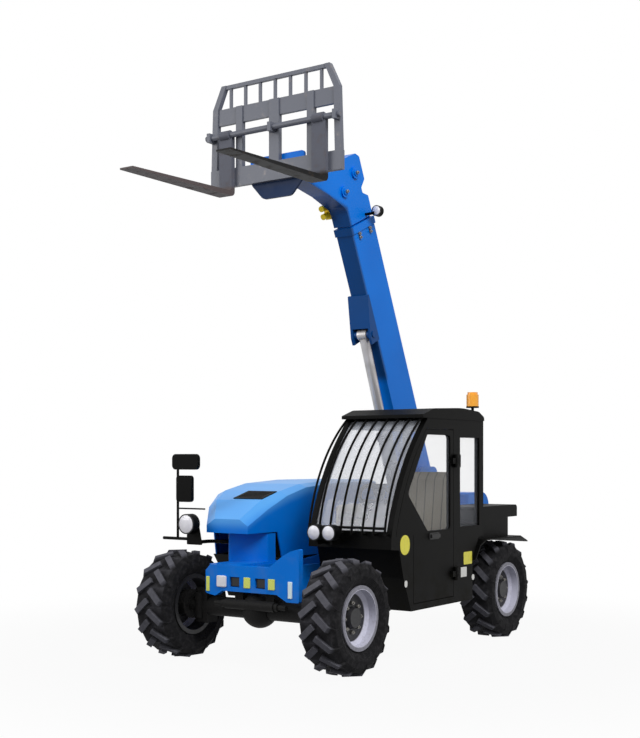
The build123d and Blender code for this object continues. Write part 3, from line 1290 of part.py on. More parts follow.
def mirror_stalk():
    """The mirror post on a bar from the lamp's plate, with two mirror heads and a loop bar."""
    line = LAMP_PLATE_Y + MIRROR_BAR_RADIUS
    x = MIRROR_POST_X
    body = cross_rod(line, MIRROR_BAR_Z, MIRROR_BAR_RADIUS, x - 145, RIGHT_LAMP_X - 10)
    clamp = RIGHT_LAMP_X - 50
    radius = MIRROR_BAR_RADIUS
    foot = MIRROR_BAR_Z - radius
    body += block(clamp, clamp + 40, LAMP_PLATE_Y, line + radius, foot, foot + 2 * radius)
    body += rod((x, line, MIRROR_BAR_Z), (x, line, 1520), MIRROR_POST_RADIUS)
    body += cross_rod(line, MIRROR_LOOP_Z, MIRROR_POST_RADIUS * 0.6, x, -537)
    low = line - MIRROR_DEPTH / 2
    high = line + MIRROR_DEPTH / 2
    lower = [(x - 4, 1185), (x + 148, 1185), (x + 148, 1388), (x - 4, 1388)]
    upper = [(x - 46, 1433), (x + 211, 1433), (x + 211, 1553), (x - 46, 1553)]
    body += front_prism(lower, low, high, 25)
    return body + front_prism(upper, low, high, 35)


def rear_mudguard(side):
    """A mudguard over a rear tyre on a bracket from the frame; the left one meets the cab."""
    top = MUDGUARD_TOP
    low_skin = top - MUDGUARD_SKIN
    start = [(HOOD_REAR + 12, top)]
    finish = [(HOOD_REAR + 12, low_skin)]
    if side > 0:
        start = [(CAB_LOW_REAR + 5, CAB_SILL - 245), (592, CAB_SILL - 130), (700, top)]
        finish = [(700, low_skin), (598, CAB_SILL - 140), (CAB_LOW_REAR + 13, CAB_SILL - 251)]
    rear = REAR_AXLE_Y + 330
    tail = [(rear - 140, top), (rear, top - 50), (rear, low_skin - 50), (rear - 140, low_skin)]
    low, high = sorted((side * MUDGUARD_INNER, side * (CAB_LEFT + 25.0)))
    guard = side_prism(start + tail + finish, low, high)
    low, high = sorted((side * FRAME_OUTER, side * (MUDGUARD_INNER + 60)))
    return guard + block(low, high, REAR_AXLE_Y - 150, REAR_AXLE_Y - 90, low_skin - 18, low_skin)


def rear_box():
    """The black box behind the cab with its overhanging lid."""
    low = CAB_REAR + 25
    top = MUDGUARD_TOP + BOX_HEIGHT
    body = block(450, 800, low, 1310, MUDGUARD_TOP, top)
    lid = [(low, top), (low, top + BOX_LID), (1490, top + BOX_LID), (1490, top)]
    return body + side_prism(lid, 440, 800, [0, 30, 30, 10])


NODES = {
    "chassis_frame": chassis_frame(),
    "front_plate": front_plate(),
    "front_cowl": front_cowl(),
    "counterweight": counterweight(),
    "tail_lamps": tail_lamps(),
    "tow_hitch": tow_hitch(),
    "boom_pins": boom_pins(),
    "front_axle": Pos(0, FRONT_AXLE_Y, AXLE_Z) * axle(),
    "rear_axle": Pos(0, REAR_AXLE_Y, AXLE_Z) * Rot(0, 0, 180) * axle(),
    "engine_bay": engine_bay(),
    "engine_block": engine_block(),
    "cab_base": cab_base(),
    "cab_frame": cab_frame(),
    "cab_roof": cab_roof(),
    "windscreen": windscreen(),
    "cab_glass": cab_glass(),
    "windscreen_guard": windscreen_guard(),
    "door_hinges": door_hinges(),
    "seat": seat(),
    "seat_cushion": seat_cushion(),
    "seat_back": seat_back(),
    "dashboard": dashboard(),
    "cab_lamps": cab_lamps(),
    "right_lamp": right_lamp(),
    "mirror_stalk": mirror_stalk(),
    "beacon": beacon(),
    "beacon_lens": beacon_lens(),
    "rear_box": rear_box(),
    "rear_mudguard_left": rear_mudguard(1),
    "rear_mudguard_right": rear_mudguard(-1),
    "door": door(),
    "door_glass": door_glass(),
    "hood": hood(),
    "hood_grille": hood_grille(),
    "hood_hinges": hood_hinges(),
    "outer_boom": outer_boom(),
    "inner_boom": inner_boom(),
    "nose_lamp": nose_lamp(),
    "hose_couplers": hose_couplers(),
    "head_pin": head_pin(),
    "lift_barrel": lift_barrel(),
    "lift_rod": lift_rod(),
    "coupler": coupler(),
    "fork_carriage": fork_carriage(),
    "fork_left": fork(1),
    "fork_right": fork(-1),
}
# Each wheel corner: the left pieces as modelled, the right ones as their mirror images.
wheel_pieces = {"tyre": (tyre(), WHEEL_X), "rim": (rim(), WHEEL_X), "knuckle": (knuckle(), KINGPIN_X)}
for end_name, end_y in (("front", FRONT_AXLE_Y), ("rear", REAR_AXLE_Y)):
    for name, (shape, x) in wheel_pieces.items():
        left = Pos(x, end_y, AXLE_Z) * shape
        NODES[f"{name}_{end_name}_left"] = left
        NODES[f"{name}_{end_name}_right"] = mirror(left, about=Plane.YZ)

os.makedirs("parts", exist_ok=True)
for name, shape in NODES.items():
    export_step(shape, f"parts/{name}.step")
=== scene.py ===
import math

import bpy
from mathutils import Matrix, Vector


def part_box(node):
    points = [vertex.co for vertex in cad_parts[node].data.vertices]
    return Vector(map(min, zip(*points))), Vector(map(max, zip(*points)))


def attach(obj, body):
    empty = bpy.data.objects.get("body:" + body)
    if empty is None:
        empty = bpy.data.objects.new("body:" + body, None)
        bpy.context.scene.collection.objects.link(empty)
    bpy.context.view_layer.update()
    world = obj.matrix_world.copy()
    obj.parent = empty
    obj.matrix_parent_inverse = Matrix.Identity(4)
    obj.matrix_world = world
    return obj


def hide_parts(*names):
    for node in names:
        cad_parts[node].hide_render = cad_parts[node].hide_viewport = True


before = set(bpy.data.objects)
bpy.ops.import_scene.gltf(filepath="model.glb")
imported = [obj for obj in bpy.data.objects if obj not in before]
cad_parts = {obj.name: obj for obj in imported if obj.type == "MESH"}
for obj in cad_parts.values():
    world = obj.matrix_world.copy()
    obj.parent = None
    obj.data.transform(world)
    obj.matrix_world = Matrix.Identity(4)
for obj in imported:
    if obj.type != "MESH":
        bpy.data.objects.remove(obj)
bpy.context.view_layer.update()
bpy.ops.object.select_all(action="DESELECT")
bpy.context.scene.view_settings.view_transform = "Standard"


# Camera: level, at the height of the cab's windows, about ten metres off and thirty-five degrees
# round from the machine's nose towards the cab, with the lens raised to take in the boom.
CAMERA_PLACE = (5.385, -8.16, 1.503)
CAMERA_TURN = (90.0, 0.0, 34.69)
SENSOR_WIDTH = 36.0
LENS_LENGTH = 58.83
LENS_RAISE = 0.124
bpy.ops.object.camera_add(location=CAMERA_PLACE, rotation=[math.radians(angle) for angle in CAMERA_TURN])
camera = bpy.context.object
camera.data.sensor_width = SENSOR_WIDTH
camera.data.lens = LENS_LENGTH
camera.data.shift_y = LENS_RAISE
bpy.context.scene.camera = camera


# Studio: a pale floor that fades into a white surround, one broad soft lamp high on the cab side
# and a weaker one on the hood side, so the paint shows near its written colour.
class Level:
    """A value that varies over a surface; arithmetic on it adds Math nodes."""

    def __init__(self, tree, socket):
        self.tree = tree
        self.socket = socket

    def joined(self, operation, left, right=0.0):
        node = self.tree.nodes.new("ShaderNodeMath")
        node.operation = operation
        for place, value in zip(node.inputs, (left, right)):
            if isinstance(value, Level):
                self.tree.links.new(value.socket, place)
            else:
                place.default_value = value
        return Level(self.tree, node.outputs[0])

    def __add__(self, other):
        return self.joined("ADD", self, other)

    __radd__ = __add__

    def __sub__(self, other):
        return self.joined("SUBTRACT", self, other)

    def __rsub__(self, other):
        return self.joined("SUBTRACT", other, self)

    def __mul__(self, other):
        return self.joined("MULTIPLY", self, other)

    __rmul__ = __mul__

    def __pow__(self, other):
        return self.joined("POWER", self, other)

    def __abs__(self):
        return self.joined("ABSOLUTE", self)

    def at_least(self, other):
        return self.joined("MAXIMUM", self, other)

    def wave(self):
        return self.joined("SINE", self)

    def zigzag(self, height):
        return self.joined("PINGPONG", self, height)


class Nodes:
    """A node tree whose nodes are made one at a time."""

    def __init__(self, tree):
        self.tree = tree

    def node(self, kind, settings, sockets, output=0):
        made = self.tree.nodes.new(kind)
        for name, value in settings.items():
            setattr(made, name, value)
        for name, value in sockets.items():
            self.feed(made.inputs[name], value)
        return Level(self.tree, made.outputs[output])

    def feed(self, socket, value):
        if isinstance(value, Level):
            self.tree.links.new(value.socket, socket)
        else:
            socket.default_value = value

    def seen(self):
        """One for the camera, for reflections and through glass, and nought for other light."""
        kinds = ("Is Camera Ray", "Is Glossy Ray", "Is Transmission Ray")
        camera_ray, glossy_ray, glass_ray = [self.node("ShaderNodeLightPath", {}, {}, kind) for kind in kinds]
        return camera_ray + glossy_ray + glass_ray


class Finish(Nodes):
    """A surface finish: one material whose patterns lie on the piece's Object coordinates."""

    def __init__(self, name):
        self.material = bpy.data.materials.new(name)
        self.material.use_nodes = True
        super().__init__(self.material.node_tree)
        self.shader = self.tree.nodes["Principled BSDF"]

    def surface(self, sockets):
        for name, value in sockets.items():
            self.feed(self.shader.inputs[name], value)

    def place(self):
        return self.node("ShaderNodeTexCoord", {}, {}, "Object")

    def along(self, axis):
        return self.node("ShaderNodeSeparateXYZ", {}, {"Vector": self.place()}, axis)

    def grain(self, scale, detail=3.0, rough=0.55):
        sockets = {"Vector": self.place(), "Scale": scale, "Detail": detail, "Roughness": rough}
        return self.node("ShaderNodeTexNoise", {}, sockets)

    def cells(self, scale):
        return self.node("ShaderNodeTexVoronoi", {}, {"Vector": self.place(), "Scale": scale})

    def ramp(self, value, start, end):
        """Nought up to the start, one from the end on, with a smooth rise between them."""
        sockets = {"Value": value, "From Min": start, "From Max": end}
        return self.node("ShaderNodeMapRange", {"interpolation_type": "SMOOTHSTEP"}, sockets)

    def over(self, amount, under, upper):
        """One colour over another; a Mix node's colour sockets are told apart only by number."""
        return self.node("ShaderNodeMix", {"data_type": "RGBA"}, {0: amount, 6: under, 7: upper}, 2)

    def bump(self, relief, depth, strength):
        sockets = {"Height": relief, "Distance": depth, "Strength": strength}
        self.surface({"Normal": self.node("ShaderNodeBump", {}, sockets)})


def tone(*levels):
    """A colour from its 0 to 255 screen values, by the sRGB curve."""
    parts = [level / 255 for level in levels]
    linear = [part / 12.92 if part < 0.04045 else ((part + 0.055) / 1.055) ** 2.4 for part in parts]
    return (*linear, 1.0)


FLOOR_RADIUS = 16.0
FLOOR_SIDES = 96
FLOOR_GREY = tone(128, 128, 130)
WHITE = tone(255, 255, 255)
SHADOW_SHARE = 0.06
SHADOW_START = 2.0
SHADOW_END = 5.0
bpy.ops.mesh.primitive_circle_add(vertices=FLOOR_SIDES, radius=FLOOR_RADIUS, fill_type="NGON")
floor = bpy.context.object
floor.name = "studio_floor"
studio = Finish("studio floor")
studio.surface({"Base Color": FLOOR_GREY, "Roughness": 0.9})
span = studio.node("ShaderNodeVectorMath", {"operation": "LENGTH"}, {0: studio.place()}, "Value")
outside = studio.ramp(span, start=SHADOW_START, end=SHADOW_END)
fade = studio.seen() * (1.0 - SHADOW_SHARE + SHADOW_SHARE * outside)
lit = Level(studio.tree, studio.shader.outputs[0])
white = studio.node("ShaderNodeEmission", {}, {"Color": WHITE, "Strength": 1.0})
mixed = studio.node("ShaderNodeMixShader", {}, {0: fade, 1: lit, 2: white})
studio.feed(studio.tree.nodes["Material Output"].inputs["Surface"], mixed)
floor.data.materials.append(studio.material)

AMBIENT = 0.42
world = bpy.data.worlds.new("studio surround")
world.use_nodes = True
bpy.context.scene.world = world
room = Nodes(world.node_tree)
backdrop = world.node_tree.nodes["Background"]
room.feed(backdrop.inputs["Color"], WHITE)
room.feed(backdrop.inputs["Strength"], room.seen() * (1.0 - AMBIENT) + AMBIENT)

LAMP_SIDE = 4.0


def soft_lamp(name, place, target, watts):
    """A square soft lamp at a place, turned to face a target."""
    bpy.ops.object.light_add(type="AREA", location=place)
    lamp = bpy.context.object
    lamp.name = name
    lamp.data.size = LAMP_SIDE
    lamp.data.energy = watts
    aim = [far - near for far, near in zip(target, place)]
    flat = math.hypot(aim[0], aim[1])
    lamp.rotation_euler = (math.atan2(flat, -aim[2]), 0, math.atan2(aim[1], aim[0]) - math.pi / 2)


soft_lamp("key_lamp", place=(5.5, -3.5, 7.5), target=(0.0, 0.0, 1.4), watts=560.0)
soft_lamp("fill_lamp", place=(-5.0, -6.5, 4.5), target=(0.0, -0.4, 1.2), watts=260.0)


# Boom, hood and frame: folded and welded steel sheet in bright blue two-pack paint, with a painted
# sky highlight on the hood's crown, painted shade along the boom's underside and round its lift
# bracket, and dusty low down, with the faint ripple of sprayed paint.
PIVOT_Y = 1.1
PIVOT_Z = 1.36
BOOM_TILT = math.radians(65.0)
BOOM_UNDER = 0.2005
NECK_BEND = 2.466
NECK_SLOPE = math.radians(53.5)
CROWN_HEIGHT = 1.34
CROWN_START = 0.1
CROWN_FALL = 0.19
DEEP_BLUE = tone(0, 100, 196)
BRIGHT_BLUE = tone(0, 122, 226)
SKY_SHEEN_BLUE = tone(122, 198, 250)
BOOM_UNDERSIDE_SHADE = tone(14, 26, 42)
GREY_DUST = tone(110, 120, 134)


def coat(finish, *names):
    """Give CAD nodes a finish."""
    for name in names:
        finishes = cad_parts[name].data.materials
        finishes.clear()
        finishes.append(finish.material)


blue_paint = Finish("blue paint")
behind = blue_paint.along("Y") - PIVOT_Y
above = blue_paint.along("Z") - PIVOT_Z
along_boom = above * math.sin(BOOM_TILT) - behind * math.cos(BOOM_TILT)
inside_belly = behind * math.sin(BOOM_TILT) + above * math.cos(BOOM_TILT) + BOOM_UNDER
inside_neck = (along_boom - NECK_BEND) * math.sin(NECK_SLOPE) + inside_belly * math.cos(NECK_SLOPE)
inside_skin = inside_belly.at_least(inside_neck)
past_hood = blue_paint.ramp(along_boom, start=0.95, end=1.05)
ahead = (CROWN_START - blue_paint.along("Y")).at_least(0.0)
below_crown = CROWN_HEIGHT - CROWN_FALL * ahead * ahead - blue_paint.along("Z")
hood_side = blue_paint.ramp(blue_paint.along("X"), start=-0.13, end=-0.16)
cloud = blue_paint.grain(scale=1.6, detail=2.0)
low_down = blue_paint.ramp(blue_paint.along("Z"), start=1.2, end=0.4)
dust = low_down * blue_paint.ramp(blue_paint.grain(scale=9.0, detail=5.0), start=0.42, end=0.75)
# Painted highlight: a pale blue laid over one side of the hood's crown stands in for the sky reflected there.
painted_sky_sheen = hood_side * blue_paint.ramp(below_crown, start=0.1, end=0.0) * (0.3 + 0.35 * cloud)
# Painted shade: a dark blue-black laid along the boom's underside and round its lift bracket, where the boom
# shades itself.
painted_underside_shade = past_hood * blue_paint.ramp(inside_skin, start=0.04, end=0.0) * (0.55 + 0.35 * cloud)
painted = blue_paint.over(cloud, DEEP_BLUE, BRIGHT_BLUE)
painted = blue_paint.over(painted_sky_sheen, painted, SKY_SHEEN_BLUE)
painted = blue_paint.over(painted_underside_shade, painted, BOOM_UNDERSIDE_SHADE)
blue_paint.surface({"Base Color": blue_paint.over(dust * 0.22, painted, GREY_DUST)})
blue_paint.surface({"Roughness": 0.3 + 0.25 * dust + 0.08 * cloud, "Coat Weight": 0.06 - 0.05 * dust})
blue_paint.surface({"Specular IOR Level": 0.08, "Coat Roughness": 0.12})
blue_paint.bump(blue_paint.grain(scale=220.0, detail=2.0), depth=0.0006, strength=0.3)
coat(blue_paint, "outer_boom", "inner_boom", "hood", "front_cowl", "front_plate")
coat(blue_paint, "chassis_frame", "counterweight")


# Coupler: a flame-cut and welded quick hitch in much the same blue, its lower lip, where the
# carriage hooks on, painted dark as the shade it sits in under the carriage.
HITCH_BLUE = tone(0, 100, 200)
HITCH_BRIGHT = tone(0, 118, 226)
HITCH_SHADE = tone(2, 18, 40)
coupler_paint = Finish("coupler paint")
blotch = coupler_paint.grain(scale=12.0, detail=5.0)
# Painted shade: the lower lip is darkened to a blotchy blue-black to stand for the shade under the carriage.
painted_lip_shade = coupler_paint.ramp(coupler_paint.along("Z") + 0.08 * blotch, start=3.74, end=3.62)
clean = coupler_paint.over(blotch, HITCH_BLUE, HITCH_BRIGHT)
coupler_paint.surface({"Base Color": coupler_paint.over(painted_lip_shade * 0.93, clean, HITCH_SHADE)})
coupler_paint.surface({"Roughness": 0.34 + 0.2 * blotch, "Specular IOR Level": 0.12})
coat(coupler_paint, "coupler")


# Cab steelwork, mudguards, boxes and lamp housings: pressed and welded steel in satin black
# powder coat, whose skin has a fine pebble and gathers grey dust near the ground.
POWDER_BLACK = tone(2, 2, 2)
POWDER_FADED = tone(7, 7, 6)
BROWN_DUST = tone(56, 54, 44)
black_paint = Finish("black powder coat")
pebble = black_paint.grain(scale=420.0, detail=2.0)
low_down = black_paint.ramp(black_paint.along("Z"), start=1.0, end=0.3)
dust = low_down * black_paint.ramp(black_paint.grain(scale=7.0, detail=6.0), start=0.4, end=0.8)
painted = black_paint.over(black_paint.grain(scale=3.0, detail=2.0), POWDER_BLACK, POWDER_FADED)
black_paint.surface({"Base Color": black_paint.over(dust * 0.2, painted, BROWN_DUST)})
black_paint.surface({"Roughness": 0.46 + 0.3 * dust + 0.1 * pebble, "Specular IOR Level": 0.06})
black_paint.bump(pebble, depth=0.0008, strength=0.4)
coat(black_paint, "cab_base", "cab_frame", "cab_roof", "windscreen_guard", "door", "door_hinges")
coat(black_paint, "seat", "beacon", "rear_box", "rear_mudguard_left", "rear_mudguard_right")
coat(black_paint, "engine_bay", "hood_hinges", "hood_grille", "mirror_stalk", "lift_barrel")
coat(black_paint, "right_lamp", "cab_lamps", "nose_lamp")


# Axles, knuckles and engine: sand-cast iron under thin black paint, rough from the mould
# and filmed with oil and road dust.
IRON_DARK = tone(8, 8, 9)
IRON_WORN = tone(26, 25, 24)
cast_iron = Finish("cast iron")
lumps = cast_iron.grain(scale=60.0, detail=6.0, rough=0.65)
painted = cast_iron.over(cast_iron.ramp(lumps, start=0.35, end=0.7), IRON_DARK, IRON_WORN)
cast_iron.surface({"Base Color": painted, "Roughness": 0.55 + 0.3 * lumps, "Specular IOR Level": 0.15})
cast_iron.bump(lumps, depth=0.003, strength=0.5)
corners = [f"{end}_{side}" for end in ("front", "rear") for side in ("left", "right")]
coat(cast_iron, "front_axle", "rear_axle", "engine_block", "tow_hitch")
coat(cast_iron, *[f"knuckle_{corner}" for corner in corners])


# Tyres: thick cross-ply rubber cased for soft ground, scuffed grey on the faces of the bars
# and dark with dirt in the channels between them, with moulded rings on the side walls.
AXLE_Y = 1.15
AXLE_Z = 0.412
RING_TURNS = 640.0
RUBBER_BLACK = tone(18, 18, 20)
RUBBER_SCUFFED = tone(44, 43, 45)
RUBBER_WORN = tone(98, 98, 106)


def from_axle(finish):
    """Distance from the nearer axle line, for patterns that run round a wheel."""
    ahead = abs(finish.along("Y")) - AXLE_Y
    up = finish.along("Z") - AXLE_Z
    return (ahead * ahead + up * up) ** 0.5


rubber = Finish("tyre rubber")
from_hub = from_axle(rubber)
scuff = rubber.grain(scale=28.0, detail=6.0, rough=0.6)
worn = rubber.ramp(from_hub, start=0.372, end=0.402)
skin = rubber.over(rubber.ramp(scuff, start=0.4, end=0.75), RUBBER_BLACK, RUBBER_SCUFFED)
rubber.surface({"Base Color": rubber.over(worn * (0.35 + 0.6 * scuff), skin, RUBBER_WORN)})
rubber.surface({"Roughness": 0.72 + 0.2 * scuff, "Specular IOR Level": 0.12})
wall = rubber.ramp(from_hub, start=0.235, end=0.245) * rubber.ramp(from_hub, start=0.318, end=0.308)
rings = (from_hub * RING_TURNS).wave() * wall
rubber.bump(rings + 0.4 * rubber.grain(scale=300.0), depth=0.0016, strength=0.6)
coat(rubber, *[f"tyre_{corner}" for corner in corners])


# Steering cylinders: a honed tube across the front of the front axle and the back of the rear
# one, with glands and the stubs of its rods, painted black with the casting.
STEER_RADIUS = 0.036
STEER_LENGTH = 0.44
STEER_HEIGHT = 0.455
STEER_REACH = 0.12
STEER_LIP = 0.004
GLAND_STEP = 0.008
GLAND_LENGTH = 0.03
ROD_STEP = 0.01
ROD_STUB = 0.07
END_FACE = 0.9
LYING = (0, math.radians(90), 0)


def pick(piece, wanted):
    """In edit mode, select the faces whose centre and normal pass a test."""
    bpy.ops.object.mode_set(mode="OBJECT")
    for part in (piece.data.vertices, piece.data.edges, piece.data.polygons):
        part.foreach_set("select", [False] * len(part))
    for face in piece.data.polygons:
        face.select = wanted(face.center, face.normal)
    bpy.ops.object.mode_set(mode="EDIT")


def begin(name):
    """Name the primitive just added and open it for face work."""
    piece = bpy.context.object
    piece.name = name
    bpy.ops.object.mode_set(mode="EDIT")
    bpy.ops.mesh.select_mode(type="FACE")
    return piece


def pull(x, y, z):
    """Extrude the selected faces by a step."""
    bpy.ops.mesh.extrude_region_move(TRANSFORM_OT_translate={"value": (x, y, z)})


def settle(piece, body, finish, smooth=35.0):
    """Close edit mode, put the piece's place into its mesh and hang it on a body."""
    if bpy.context.mode != "OBJECT":
        bpy.ops.object.mode_set(mode="OBJECT")
    bpy.ops.object.select_all(action="DESELECT")
    piece.select_set(True)
    bpy.context.view_layer.objects.active = piece
    bpy.ops.object.transform_apply(location=True, rotation=True, scale=True)
    bpy.ops.object.shade_smooth_by_angle(angle=math.radians(smooth))
    piece.data.materials.clear()
    piece.data.materials.append(finish.material)
    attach(piece, body)
    piece.select_set(False)


for name, outward in (("front", -1), ("rear", 1)):
    bpy.ops.object.select_all(action="DESELECT")
    middle = (0.0, outward * (AXLE_Y + STEER_REACH), STEER_HEIGHT)
    sizes = {"radius": STEER_RADIUS, "depth": STEER_LENGTH}
    bpy.ops.mesh.primitive_cylinder_add(vertices=32, location=middle, rotation=LYING, **sizes)
    tube = begin(f"steering_cylinder_{name}")
    for end in (1, -1):
        pick(tube, lambda centre, normal: normal.z * end > END_FACE)
        pull(STEER_LIP * end, 0, 0)
        bpy.ops.mesh.inset(thickness=GLAND_STEP)
        pull(GLAND_LENGTH * end, 0, 0)
        bpy.ops.mesh.inset(thickness=ROD_STEP)
        pull(ROD_STUB * end, 0, 0)
    settle(tube, "chassis", cast_iron)


# Rims: rolled barrels, pale grey on the outer side and darker grey on the flange, around a pressed
# disc and hub that are dark, as the whole inner side is.
RIM_PALE = tone(196, 196, 212)
RIM_STAINED = tone(134, 130, 134)
FLANGE_GREY = tone(84, 83, 90)
DISC_BLACK = tone(18, 18, 21)
rim_paint = Finish("rim paint")
from_hub = from_axle(rim_paint)
speck = rim_paint.grain(scale=40.0, detail=5.0)
pale = rim_paint.over(rim_paint.ramp(speck, start=0.5, end=0.8) * 0.4, RIM_PALE, RIM_STAINED)
flange = rim_paint.ramp(from_hub, start=0.199, end=0.204) * (0.55 + 0.4 * speck)
pale = rim_paint.over(flange, pale, FLANGE_GREY)
centre = rim_paint.ramp(from_hub, start=0.172, end=0.164)
outer_side = rim_paint.ramp(abs(rim_paint.along("X")), start=0.74, end=0.75)
dark_side = 1.0 - (1.0 - centre) * outer_side
rim_paint.surface({"Base Color": rim_paint.over(dark_side, pale, DISC_BLACK)})
rim_paint.surface({"Roughness": 0.42 + 0.2 * speck})
rim_paint.bump(rim_paint.grain(scale=240.0, detail=2.0), depth=0.0006, strength=0.3)
coat(rim_paint, *[f"rim_{corner}" for corner in corners])


# Wheel nuts: eight forged steel nuts on studs around each hub, zinc plated, dulled by weather
# and drawn up tight against the wheel's disc.
NUT_RADIUS = 0.015
NUT_DEPTH = 0.018
NUT_CHAMFER = NUT_RADIUS * 0.12
NUT_LAND = NUT_RADIUS * 0.35
STUD_REACH = NUT_DEPTH * 0.45
NUT_COUNT = 8
NUT_RING = 0.102
DISC_FACE = 0.798
ZINC_GREY = tone(110, 110, 112)
ZINC_BLOOM = tone(156, 152, 142)
zinc = Finish("dull zinc")
bloom = zinc.grain(scale=90.0, detail=5.0)
zinc.surface({"Base Color": zinc.over(bloom, ZINC_GREY, ZINC_BLOOM)})
zinc.surface({"Roughness": 0.35 + 0.3 * bloom, "Metallic": 0.8})

bpy.ops.object.select_all(action="DESELECT")
sizes = {"radius": NUT_RADIUS, "depth": NUT_DEPTH}
bpy.ops.mesh.primitive_cylinder_add(vertices=6, location=(NUT_DEPTH / 2, 0, 0), rotation=LYING, **sizes)
nut = begin("wheel_nut_pattern")
bpy.ops.mesh.bevel(offset=NUT_CHAMFER, segments=1)
pick(nut, lambda centre, normal: normal.z > END_FACE and centre.z > NUT_DEPTH * 0.4)
bpy.ops.mesh.inset(thickness=NUT_LAND)
pull(STUD_REACH, 0, 0)
bpy.ops.object.mode_set(mode="OBJECT")
bpy.ops.object.transform_apply(location=True, rotation=True, scale=True)


def nut_set(name, places, body):
    """Copies of the nut at places, facing away from the centre line and joined as one piece."""
    bpy.ops.object.select_all(action="DESELECT")
    copies = []
    for place in places:
        copy = bpy.data.objects.new(name, nut.data.copy())
        bpy.context.collection.objects.link(copy)
        copy.location = place
        copy.rotation_euler = (0, 0, 0 if place[0] > 0 else math.pi)
        copy.select_set(True)
        copies.append(copy)
    bpy.context.view_layer.objects.active = copies[0]
    bpy.ops.object.join()
    settle(copies[0], body, zinc, smooth=20.0)


for corner in corners:
    hub_x = DISC_FACE if corner.endswith("left") else -DISC_FACE
    hub_y = -AXLE_Y if corner.startswith("front") else AXLE_Y
    ring = []
    for step in range(NUT_COUNT):
        turn = step * 2 * math.pi / NUT_COUNT
        ring.append((hub_x, hub_y + NUT_RING * math.cos(turn), AXLE_Z + NUT_RING * math.sin(turn)))
    nut_set(f"wheel_nuts_{corner}", ring, f"wheel_{corner}")


# Boom bolts: the zinc plated heads that hold the wear pads behind the boom's collar and the caps
# of the nose pins, in pairs on both sides.
PAD_SIDE = 0.075
PAD_BOLTS = ((2.205, -0.1), (2.205, 0.07), (2.235, -0.1), (2.235, 0.07))
CAP_SIDE = 0.104
CAP_BOLTS = ((2.6, -0.18), (2.7, 0.03))


def both_sides(side, points):
    """Places on both sides of the raised boom, from points along and above its pivot line."""
    places = []
    for along, rise in points:
        y = PIVOT_Y - along * math.cos(BOOM_TILT) + rise * math.sin(BOOM_TILT)
        z = PIVOT_Z + along * math.sin(BOOM_TILT) + rise * math.cos(BOOM_TILT)
        places += [(side, y, z), (-side, y, z)]
    return places


nut_set("boom_pad_bolts", both_sides(PAD_SIDE, PAD_BOLTS), "outer_boom")
nut_set("nose_pin_bolts", both_sides(CAP_SIDE, CAP_BOLTS), "inner_boom")
bpy.data.objects.remove(nut)


# Fork carriage: flame-cut bar and tube welded into a frame, in grey paint scraped
# to a rusty brown by loads and pallets.
CARRIAGE_GREY = tone(84, 87, 98)
CARRIAGE_RUST = tone(114, 102, 94)
grey_paint = Finish("grey carriage paint")
scrape = grey_paint.ramp(grey_paint.grain(scale=16.0, detail=8.0, rough=0.7), start=0.55, end=0.72)
grey_paint.surface({"Base Color": grey_paint.over(scrape * 0.5, CARRIAGE_GREY, CARRIAGE_RUST)})
grey_paint.surface({"Roughness": 0.48 - 0.12 * scrape, "Metallic": 0.2 * scrape})
grey_paint.bump(grey_paint.grain(scale=260.0, detail=2.0), depth=0.0007, strength=0.4)
coat(grey_paint, "fork_carriage")


# Forks: forged and ground spring steel, the left blade black with mill scale, the right one
# rubbed brown by loads, and both painted grey up the shanks.
MILL_SCALE = tone(12, 12, 13)
RUBBED_STEEL = tone(84, 76, 76)
SHANK_GREY = tone(86, 88, 98)
FORK_RUST = tone(100, 84, 72)
fork_steel = Finish("fork steel")
rust = fork_steel.ramp(fork_steel.grain(scale=14.0, detail=8.0, rough=0.7), start=0.5, end=0.72)
shank = fork_steel.ramp(fork_steel.along("Z"), start=3.56, end=3.6)
right_hand = fork_steel.ramp(fork_steel.along("X"), start=0.05, end=-0.05)
blade = fork_steel.over(right_hand, MILL_SCALE, RUBBED_STEEL)
forged = fork_steel.over(shank, blade, SHANK_GREY)
fork_steel.surface({"Base Color": fork_steel.over(rust * 0.3, forged, FORK_RUST)})
fork_steel.surface({"Roughness": 0.5 + 0.3 * rust, "Specular IOR Level": 0.12})
fork_steel.bump(rust, depth=0.0008, strength=0.4)
coat(fork_steel, "fork_left", "fork_right")


# Lift cylinder rod and pins: a ground rod plated with hard chrome and filmed with oil, and plain
# turned steel pins for the boom, the cylinder's base and the head.
CHROME_BRIGHT = tone(196, 194, 196)
CHROME_FILMED = tone(150, 146, 142)
chrome = Finish("hard chrome")
film = chrome.ramp(chrome.grain(scale=5.0, detail=2.0), start=0.4, end=0.8)
chrome.surface({"Base Color": chrome.over(film, CHROME_BRIGHT, CHROME_FILMED)})
chrome.surface({"Roughness": 0.3 + 0.2 * film, "Metallic": 0.5 - 0.2 * film})
coat(chrome, "lift_rod")
PIN_DARK = tone(104, 104, 106)
PIN_WIPED = tone(146, 144, 140)
pin_steel = Finish("pin steel")
wiped = pin_steel.grain(scale=50.0, detail=5.0)
pin_steel.surface({"Base Color": pin_steel.over(wiped, PIN_DARK, PIN_WIPED)})
pin_steel.surface({"Roughness": 0.3 + 0.25 * wiped, "Metallic": 0.9})
coat(pin_steel, "head_pin", "boom_pins")


# Glass: toughened sheet with a faint lavender tint under a pale veil of painted sky reflection and
# road dust, thicker on the curved windscreen than on the flat side panes.
GLASS_TINT = tone(214, 218, 228)


